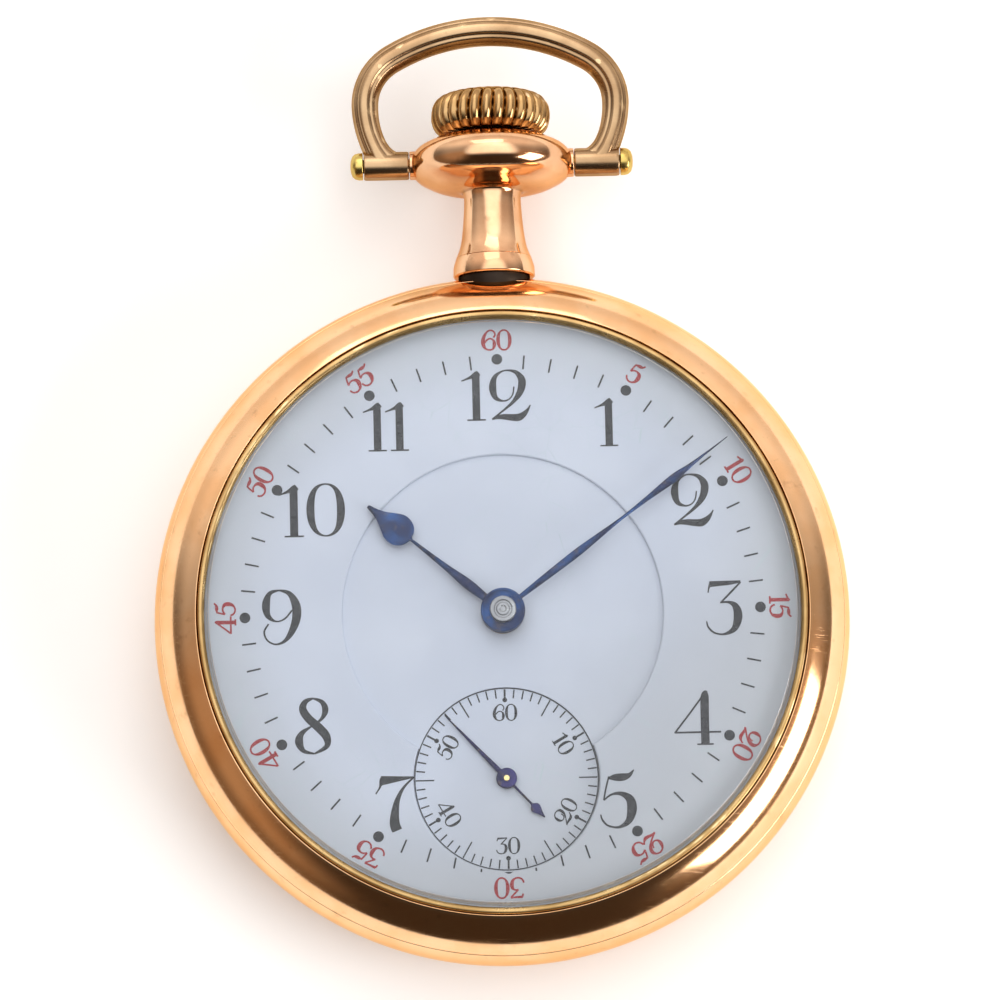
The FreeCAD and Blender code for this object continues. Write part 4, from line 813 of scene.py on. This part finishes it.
# %% Hour figures and the minute track
HOUR_PLACES = {1: (15.95, 3.6), 2: (15.95, 3.8), 3: (15.95, 4.0), 4: (15.95, 3.95), 5: (15.95, 4.1),
               7: (15.95, 4.25), 8: (15.95, 4.15), 9: (15.95, 4.05), 10: (15.55, 3.9), 11: (15.95, 3.65),
               12: (15.95, 3.72)}
DOT_R = 18.58
MINUTE_R = 20.0
MINUTE_HEIGHT = 1.5
hours = []
for hour, (radius, height) in HOUR_PLACES.items():
    hours += figures(str(hour), on_dial(radius, 30 * hour), height, 0, DIAL_Z, least=0.1, bold=1.1)
piece("hour_figures", hours, BLACK_INK, "case")
minutes = []
for minute in range(5, 61, 5):
    minutes += figures(str(minute), on_dial(MINUTE_R, 6 * minute), MINUTE_HEIGHT, 6 * minute, DIAL_Z,
                       least=0.13, bold=1.3)
piece("minute_figures", minutes, RED_INK, "case")


def outside_seconds(point, clear=0.12):
    """Move a point that lies over the seconds dial out to just past its edge."""
    away = Vector(point) - Vector(SECONDS_CENTRE)
    least = SECONDS_R + clear
    return tuple(Vector(SECONDS_CENTRE) + away * max(1.0, least / away.length))


TICK_IN, TICK_LAST_IN, TICK_OUT, TICK_WIDTH = 17.9, 18.8, 18.92, 0.125
DOT_SIZE = 0.39
track = []
for minute in range(60):
    if minute % 5:
        inner = TICK_IN
        while (Vector(on_dial(inner, 6 * minute)) - Vector(SECONDS_CENTRE)).length < SECONDS_R + 0.12:
            inner += 0.02
        if inner < TICK_LAST_IN:
            track.append(tick(inner, TICK_OUT, 6 * minute, TICK_WIDTH, DIAL_Z))
    else:
        dot = circle(DOT_SIZE, on_dial(DOT_R, 6 * minute), 28)
        if minute == 30:
            dot = [outside_seconds(point) for point in dot]
        track.append(slab(dot, DIAL_Z - PRINT, DIAL_Z + PRINT))
piece("minute_track", track, BLACK_INK, "case")

# %% [markdown]
# The seconds dial has a tick for each second, a longer one between the tens, and a dot and an
# upright number at every ten. All of them stand inside one thin printed circle.

# %% Seconds track
SMALL_OUT, SMALL_IN, SMALL_LONG_IN = 6.52, 5.88, 5.2
seconds = []
for second in range(60):
    turn = 6 * second
    if second % 10 == 5:
        seconds.append(tick(SMALL_LONG_IN, SMALL_OUT, turn, 0.1, SECONDS_Z, SECONDS_CENTRE))
    else:
        width = 0.14 if second % 5 == 0 else 0.1
        seconds.append(tick(SMALL_IN, SMALL_OUT, turn, width, SECONDS_Z, SECONDS_CENTRE))
    if second % 10 == 0:
        dot = circle(0.17, on_dial(5.74, turn, SECONDS_CENTRE), 16)
        seconds.append(slab(dot, SECONDS_Z - PRINT, SECONDS_Z + PRINT + LAYER))
        upright = (turn + 90) % 180 - 90
        seconds += figures(str(second or 60), on_dial(4.83, turn, SECONDS_CENTRE), 1.2, upright, SECONDS_Z,
                           least=0.08, bold=1.25)
ring_line = [(*on_dial(SECONDS_R - 0.09, 3 * k, SECONDS_CENTRE), 0.08) for k in range(121)]
seconds.append(ribbon(ring_line, SECONDS_Z - PRINT, SECONDS_Z + PRINT + 2 * LAYER))
piece("seconds_track", seconds, BLACK_INK, "case")

# %% [markdown]
# Hands are stamped from thin steel, domed by polishing and heated until they turn blue. Each blade is
# lofted here from stations along it: at every station a flat underside, two low sides and a crown.

# %% Hands
def blade(stations, low, high, angle, centre=(0, 0), crowned=0.6):
    """A blade with a raised middle, from (distance from pivot, half width)."""
    rows = through(stations, 8)
    turn = math.radians(-angle)
    points, faces = [], []
    shape = ((-1, 0.0), (1, 0.0), (1, 1 - crowned), (0.5, 1 - crowned * 0.3), (0, 1.0),
             (-0.5, 1 - crowned * 0.3), (-1, 1 - crowned))
    count = len(shape)
    for along, half in rows:
        half = max(half, 0.02)
        for side, rise in shape:
            x, y = side * half, along
            points.append((centre[0] + x * math.cos(turn) - y * math.sin(turn),
                           centre[1] + x * math.sin(turn) + y * math.cos(turn), low + (high - low) * rise))
    for row in range(len(rows) - 1):
        a, b = row * count, (row + 1) * count
        faces += [(a + k, a + (k + 1) % count, b + (k + 1) % count, b + k) for k in range(count)]
    last = (len(rows) - 1) * count
    faces += [tuple(range(count))[::-1], tuple(range(last, last + count))]
    return points, faces


def moved(shape, centre):
    return [(x + centre[0], y + centre[1], z) for x, y, z in shape[0]], shape[1]


def boss(radius, bore, low, high, rim=0.06):
    """The round hub of a hand, with a slightly raised rim and a dished face."""
    return soften([(bore, low), (radius, low), (radius, high - 0.03), (radius - 0.12, high),
                   (radius - 0.28, high - rim), (bore + 0.12, high - rim), (bore, high - rim)], 0.04)


HOUR_ANGLE, MINUTE_ANGLE, SECONDS_ANGLE = 309.5, 53.2, 317.0
HOUR_LOW, HOUR_HIGH = box_mm("hour_hand")
MINUTE_LOW, MINUTE_HIGH = box_mm("minute_hand")
SMALL_LOW, SMALL_HIGH = box_mm("seconds_hand")
hour_stations = [(1.0, 0.3), (1.8, 0.3), (3.24, 0.37), (5.2, 0.22), (8.0, 0.115), (8.42, 0.13),
                 (8.55, 0.45), (8.8, 0.83), (9.2, 1.07), (9.66, 1.15),
                 (10.1, 1.05), (10.6, 0.78), (11.1, 0.49),
                 (11.6, 0.29), (12.1, 0.18), (12.38, 0.12)]
minute_stations = [(1.0, 0.18), (1.8, 0.18), (4.5, 0.26), (6.8, 0.29), (8.5, 0.22), (10.9, 0.11),
                   (13.2, 0.17), (15.2, 0.29), (16.0, 0.28), (17.2, 0.15), (18.8, 0.07), (20.6, 0.03)]
small_stations = [(-3.93, 0.04), (-3.5, 0.17), (-3.15, 0.33), (-2.97, 0.37), (-2.8, 0.32), (-2.62, 0.12),
                  (-2.4, 0.075), (-1.0, 0.09), (0.0, 0.13), (0.8, 0.19), (2.2, 0.15), (4.0, 0.10),
                  (6.38, 0.035)]
piece("hour_hand_blued", [blade(hour_stations, HOUR_LOW.z + 0.05, HOUR_HIGH.z - 0.1, HOUR_ANGLE),
                          spin(boss(1.6, 1.26, HOUR_LOW.z, HOUR_HIGH.z), steps=96)],
      BLUED, "hour", "hour_hand", sharp=25)
piece("minute_hand_blued", [blade(minute_stations, MINUTE_LOW.z + 0.1, MINUTE_HIGH.z - 0.15, MINUTE_ANGLE),
                            spin(boss(1.6, 0.86, MINUTE_LOW.z, MINUTE_HIGH.z), steps=96)],
      BLUED, "minute", "minute_hand", sharp=25)
piece("seconds_hand_blued", [blade(small_stations, SMALL_LOW.z + 0.1, SMALL_HIGH.z - 0.17, SECONDS_ANGLE,
                                   SECONDS_CENTRE),
                             moved(spin(boss(0.75, 0.21, SMALL_LOW.z, SMALL_HIGH.z, 0.03), steps=64),
                                   SECONDS_CENTRE)],
      DARK_BLUED, "fourth", "seconds_hand", sharp=25)

# %% [markdown]
# The minute hand is pressed on a steel pipe, the cannon pinion. Its top shows as a bright polished
# ring round a darker sunk ring and a small raised centre. Its leaves are below the dial.

# %% Cannon pinion
PIPE_LOW, PIPE_HIGH = box_mm("cannon_pinion")
LEAVES = 12
cap_low = MINUTE_HIGH.z
pipe = [(0.57, PIPE_LOW.z), (0.85, PIPE_LOW.z), (0.85, cap_low), (0.95, cap_low), (0.95, PIPE_HIGH.z - 0.04),
        (0.9, PIPE_HIGH.z), (0.66, PIPE_HIGH.z), (0.62, PIPE_HIGH.z - 0.1), (0.48, PIPE_HIGH.z - 0.1),
        (0.44, PIPE_HIGH.z - 0.02), (0.24, PIPE_HIGH.z - 0.02),
        (0.2, PIPE_HIGH.z - 0.07), (0, PIPE_HIGH.z - 0.07),
        (0, PIPE_HIGH.z - 0.12), (0.57, PIPE_HIGH.z - 0.12)]
leaf_outline = []
for number in range(LEAVES):
    for radius, share in ((1.01, -0.25), (1.34, -0.11), (1.34, 0.11), (1.01, 0.25)):
        angle = math.radians(90 + (number + share) * 360 / LEAVES)
        leaf_outline.append((radius * math.cos(angle), radius * math.sin(angle)))
piece("cannon_pinion_polished", [spin(soften(pipe, 0.025), steps=96),
                                 slab(leaf_outline, PIPE_LOW.z, PIPE_LOW.z + 0.35)],
      CAP_STEEL, "minute", "cannon_pinion")

# %% [markdown]
# The pendant is a neck with a flared collar, soldered to the case, and a flattened ball that carries
# the bow. Both are turned about one axis, so they are one spun shape with a small hollow where
# they meet. Two short round bosses stand at the ends of the ball, and the bow's barrels rub on them.

# %% Pendant neck and ball
NECK = [(1.5, 25.25), (2.2, 25.27), (2.86, 25.29), (2.99, 25.39), (2.97, 26.05), (2.76, 26.75), (2.48, 27.45),
        (2.32, 28.2), (2.2, 29.2), (2.12, 30.2), (2.08, 31.2), (2.16, 31.62)]
BALL = [(2.6, 1.98), (3.4, 1.93), (4.2, 1.76), (4.9, 1.45), (5.4, 1.15), (5.75, 0.75), (5.91, 0.3)]
ball_low = [(r, BOW_Y - out) for r, out in BALL]
ball_high = [(r, BOW_Y + out) for r, out in BALL[::-1]]
COLLAR_CORNERS = 6
HEAD_STEPS = 4
head = through(NECK[-2:] + ball_low + ball_high, HEAD_STEPS)
collar = soften(NECK[:COLLAR_CORNERS], 0.06)[:-1]
outer = collar + through(NECK[COLLAR_CORNERS - 1:], 3)[:-1] + head[HEAD_STEPS:]
BORE_R = 1.45
pendant_profile = outer + [(1.5, BOW_Y + 2.06), (BORE_R, BOW_Y + 2.0), (BORE_R, 25.3)]
bosses = [spin(soften([(0.5, side * 4.9), (1.08, side * 4.9), (1.04, side * 6.0), (0.5, side * 6.0)], 0.05),
               about_bow, 64) for side in (1, -1)]
piece("pendant_turned", [spin(pendant_profile, about_pendant, 192)] + bosses,
      PENDANT_GOLD, "case", "pendant")

# %% [markdown]
# The gap under the collar lies in shade, so the joint there is made of nearly black gold as a painted shadow.
# It is a short cone of its own, hidden in the case at its foot.

# %% Pendant root
root = [(1.46, 23.6), (2.3, 23.6), (2.6, 24.7), (2.62, 25.28), (1.46, 25.28)]
piece("pendant_root", [spin(soften(root, 0.04), about_pendant, 96)], SHADOW_GOLD, "case")

# %% [markdown]
# The crown is a knurled knob with twenty-eight rounded ribs that run over its shoulder. They could
# be cut one by one, but it is simpler to spin the knob and pull it in between every two ribs.

# %% Crown
RIBS = 28
RIB_DEPTH = 0.42
RIB_LEAN = 0.02
HOLLOW_R, HOLLOW_Y, STEM_R = 2.7, 36.75, 0.6
CROWN_LOW, CROWN_HIGH = box_mm("crown")
CROWN_R = CROWN_HIGH.x
FOOT_Y, TOP_Y = CROWN_LOW.y, CROWN_HIGH.y
STEM_END_Y = box_mm("stem")[1].y


def crown_shape():
    outer = [(3.6, FOOT_Y, 0.6), (3.78, FOOT_Y + 0.08, 1.0), (4.14, FOOT_Y + 0.5, 1.0),
             (CROWN_R, FOOT_Y + 1.1, 1.0), (CROWN_R, FOOT_Y + 1.7, 1.0), (4.22, FOOT_Y + 2.2, 1.0),
             (3.88, TOP_Y - 0.42, 1.0), (3.4, TOP_Y - 0.18, 0.7), (3.05, TOP_Y - 0.1, 0.2),
             (2.6, TOP_Y - 0.05, 0.0), (1.2, TOP_Y, 0.0)]
    outer = through(outer, 5) + [(0.0, TOP_Y, 0.0), (0.0, STEM_END_Y, 0.0), (STEM_R, STEM_END_Y, 0.0),
                                 (STEM_R, HOLLOW_Y, 0.0), (HOLLOW_R, HOLLOW_Y, 0.0), (HOLLOW_R, FOOT_Y, 0.0)]
    steps = RIBS * 14
    points, faces = [], []
    for step in range(steps):
        turn = 2 * math.pi * step / steps
        for radius, along, ribbed in outer:
            wave = abs(math.sin(RIBS / 2 * (turn + RIB_LEAN * (along - FOOT_Y))))
            rib = RIB_DEPTH * ribbed * (1 - wave ** 0.7)
            points.append(about_pendant(max(radius - rib, 0.0), along, turn))
    count = len(outer)
    for step in range(steps):
        here, ahead = step * count, (step + 1) % steps * count
        faces += [(here + k, here + (k + 1) % count, ahead + (k + 1) % count, ahead + k)
                  for k in range(count)]
    return points, faces


piece("crown_ribbed", [crown_shape()], CROWN_GOLD, "crown", "crown", sharp=60)

# %% [markdown]
# The bow is a stirrup of moulded wire between two barrels. The wire is not round: two fine grooves
# with a ridge between them run along each face. The section is swept along five arcs that meet
# smoothly. The wire narrows a little down each leg and then spreads into a foot on its barrel.

# %% Bow
BOW_SIDE_X, BOW_SIDE_Y, BOW_TOP_Y = 9.18, 38.3, 43.85
CORNER_ARC, LEG_ARC, WIRE_R = 4.2, 7.7, 0.98
corner_x = BOW_SIDE_X - CORNER_ARC
rise = BOW_TOP_Y - BOW_SIDE_Y - CORNER_ARC
drop = (corner_x ** 2 - rise ** 2) / (2 * rise)
top_arc = BOW_TOP_Y - BOW_SIDE_Y + drop
meet = math.degrees(math.atan2(drop, corner_x))
leg_drop = math.degrees(math.asin((BOW_SIDE_Y - BOW_Y) / LEG_ARC))


def bow_path():
    """Places and outward directions along the right half, then mirrored."""
    half = []
    for centre, radius, start, end, count in (
            ((BOW_SIDE_X - LEG_ARC, BOW_SIDE_Y), LEG_ARC, -leg_drop + 2, 0, 24),
            ((corner_x, BOW_SIDE_Y), CORNER_ARC, 0, meet, 36),
            ((0, BOW_SIDE_Y - drop), top_arc, meet, 90, 36)):
        for k in range(count):
            turn = math.radians(start + (end - start) * k / count)
            half.append((centre[0] + radius * math.cos(turn), centre[1] + radius * math.sin(turn),
                         math.cos(turn), math.sin(turn)))
    top = [(0.0, BOW_TOP_Y, 0.0, 1.0)]
    return half + top + [(-x, y, -nx, ny) for x, y, nx, ny in half[::-1]]


def wire_section(count=72):
    section = []
    for k in range(count):
        turn = 360 * k / count
        fold = abs((turn + 180) % 360 - 180)
        groove = sum(math.exp(-((fold - place) / 7.5) ** 2) for place in (52, 112))
        radius = WIRE_R * (1.0 - 0.09 * groove)
        section.append((radius * math.cos(math.radians(turn)), radius * math.sin(math.radians(turn))))
    return section


def bow_wire():
    path, section = bow_path(), wire_section()
    count = len(section)
    points = []
    for number, (x, y, nx, ny) in enumerate(path):
        from_foot = min(number, len(path) - 1 - number)
        flare = math.exp(-from_foot / 3.5)
        top = max(0.0, ny) ** 2
        size = 0.88 + 0.12 * min(1.0, from_foot / 24) + 0.5 * flare + 0.1 * top
        for out, up in section:
            points.append((x + nx * out * size, y + ny * out * size - 0.1 * top, MID_Z + up * min(size, 1.0)))
    faces = []
    for row in range(len(path) - 1):
        a, b = row * count, (row + 1) * count
        faces += [(a + k, a + (k + 1) % count, b + (k + 1) % count, b + k) for k in range(count)]
    last = (len(path) - 1) * count
    faces += [tuple(range(count))[::-1], tuple(range(last, last + count))]
    return points, faces


def barrel(side):
    profile = [(0.55, 6.05), (1.0, 6.05), (1.04, 6.2), (1.04, 9.1), (1.0, 9.35), (0.55, 9.35)]
    return spin(soften([(r, side * x) for r, x in profile], 0.08), about_bow, 64)


def screw_head(side):
    dome = [(1.0, 9.42), (1.0, 9.72), (0.93, 10.0), (0.74, 10.2), (0.42, 10.31), (0.0, 10.35)]
    shank = [(0.0, 3.4), (0.5, 3.4), (0.5, 9.42)]
    return spin(soften([(r, side * x) for r, x in shank + dome], 0.06), about_bow, 64)


piece("bow_wire", [bow_wire(), barrel(1), barrel(-1)], BOW_GOLD, "bow", "bow")
piece("bow_screw_heads", [screw_head(1), screw_head(-1)], SCREW_GOLD, "case", "bow_screws")

# %% [markdown]
# A plain pale floor and a soft tent of light suit polished gold, which shows nothing but what stands
# round it. The tent has a bright ceiling, warm and dimmer sides and a light wall behind. The gap left
# nearly black in front draws the dark band on the lower bezel, and the panel on the right gives the
# broad glare beside it. The paper glows faintly, as on a light table, so it stays white.

# %% Floor, tent and lamps
def floor():
    finish = Finish("pale_paper")
    fibres = finish.noise(0.4, 4.0)
    colour = finish.mix(fibres, (0.93, 0.93, 0.93), (0.95, 0.95, 0.95))
    paper = finish.show(finish.add("BsdfPrincipled", {}, {
        "Base Color": colour, "Roughness": fibres * 0.1 + 0.75, "Normal": finish.bump(fibres, 0.01),
        "Specular IOR Level": 0.1, "Emission Color": (1.0, 1.0, 1.0), "Emission Strength": 0.16}))
    half = 0.9
    mesh = bpy.data.meshes.new("floor")
    level = -0.02 * MM
    mesh.from_pydata([(-half, -half, level), (half, -half, level), (half, half, level), (-half, half, level)],
                     [], [(0, 1, 2, 3)])
    thing = bpy.data.objects.new("floor", mesh)
    bpy.context.scene.collection.objects.link(thing)
    mesh.materials.append(paper)


def tent(strength, overhead, sides, front):
    """A bright ceiling, dimmer sides, a light wall behind and a nearly black gap low in front."""
    world = bpy.data.worlds.new("tent")
    world.use_nodes = True
    tree = world.node_tree
    tree.nodes.clear()

    def node(kind, settings=None, sockets=None, output=0):
        made = tree.nodes.new("ShaderNode" + kind)
        for name, value in (settings or {}).items():
            setattr(made, name, value)
        for name, value in (sockets or {}).items():
            plug(tree, made.inputs[name], value)
        return Wire(tree, made.outputs[output])

    def step(value, low, high, to_low, to_high):
        return node("MapRange", {"interpolation_type": "SMOOTHSTEP"},
                    {"Value": value, "From Min": low, "From Max": high, "To Min": to_low, "To Max": to_high})

    way = node("TexCoord", output="Generated")
    parts = tree.nodes.new("ShaderNodeSeparateXYZ")
    tree.links.new(way.socket, parts.inputs[0])
    across, ahead, height = [Wire(tree, socket) for socket in parts.outputs]
    base = step(height, 0.1, 0.5, sides * 0.5, sides)
    wall = step(ahead, 0.15, 0.6, 0.0, 1.0) * (1.0 - sides) * 0.9
    gap = step(ahead, -0.5, -0.06, 1.0, 0.0) * step(across * across, 0.15, 0.6, 1.0, 0.0)
    ceiling = step(height, 0.74, 0.92, 0.0, overhead - sides)
    light_sum = ((base + wall + ceiling) * (1.0 - gap) + gap * front) * strength
    warmth = (1.0 - ceiling * 3.0) * step(ahead, -0.1, 0.25, 1.0, 0.25)
    colour = node("Mix", {"data_type": "RGBA", "clamp_factor": True},
                  {0: warmth, 6: (1.0, 0.995, 0.985), 7: (1.0, 0.66, 0.42)}, output=2)
    light = node("Background", {}, {"Color": colour, "Strength": light_sum})
    output = tree.nodes.new("ShaderNodeOutputWorld")
    tree.links.new(light.socket, output.inputs["Surface"])
    bpy.context.scene.world = world


def panel(name, place, size, watts):
    """A soft rectangle of light that faces the watch."""
    light = bpy.data.lights.new(name, "AREA")
    light.shape = "RECTANGLE"
    light.size, light.size_y = size
    light.energy = watts
    thing = bpy.data.objects.new(name, light)
    bpy.context.scene.collection.objects.link(thing)
    thing.location = place
    thing.rotation_euler = (-Vector(place)).to_track_quat("-Z", "Y").to_euler()


floor()
tent(1.22, 1.5, 0.36, 0.04)
panel("panel_right", (0.42, -0.20, 0.22), (0.36, 0.24), 1.9)
panel("panel_back", (-0.05, 0.45, 0.42), (0.4, 0.25), 0.5)
bpy.context.scene.view_settings.view_transform = "Standard"
print("floor, tent and panels set")

# %% [markdown]
# The camera stands high above the watch and slightly towards its lower edge, with a long lens,
# so the round case is a shade shorter than it is wide. The watch is turned a little in the frame.

# %% Camera
CAMERA_PLACE = Vector((-8.27, -94.75, 594.26)) * MM
CAMERA_AIM = Vector((-0.01, 8.23, 9.7)) * MM
CAMERA_ROLL = math.radians(1.35)
back = (CAMERA_PLACE - CAMERA_AIM).normalized()
right = Vector((0, 1, 0)).cross(back).normalized()
up = back.cross(right)
across = right * math.cos(CAMERA_ROLL) - up * math.sin(CAMERA_ROLL)
upward = right * math.sin(CAMERA_ROLL) + up * math.cos(CAMERA_ROLL)
camera_data = bpy.data.cameras.new("camera")
camera_data.sensor_width = 36.0
camera_data.lens = 295.87
camera = bpy.data.objects.new("camera", camera_data)
bpy.context.scene.collection.objects.link(camera)
turned = Matrix((across, upward, back)).transposed().to_4x4()
camera.matrix_world = Matrix.Translation(CAMERA_PLACE) @ turned
bpy.context.scene.camera = camera
print("camera height", round(CAMERA_PLACE.z, 3))
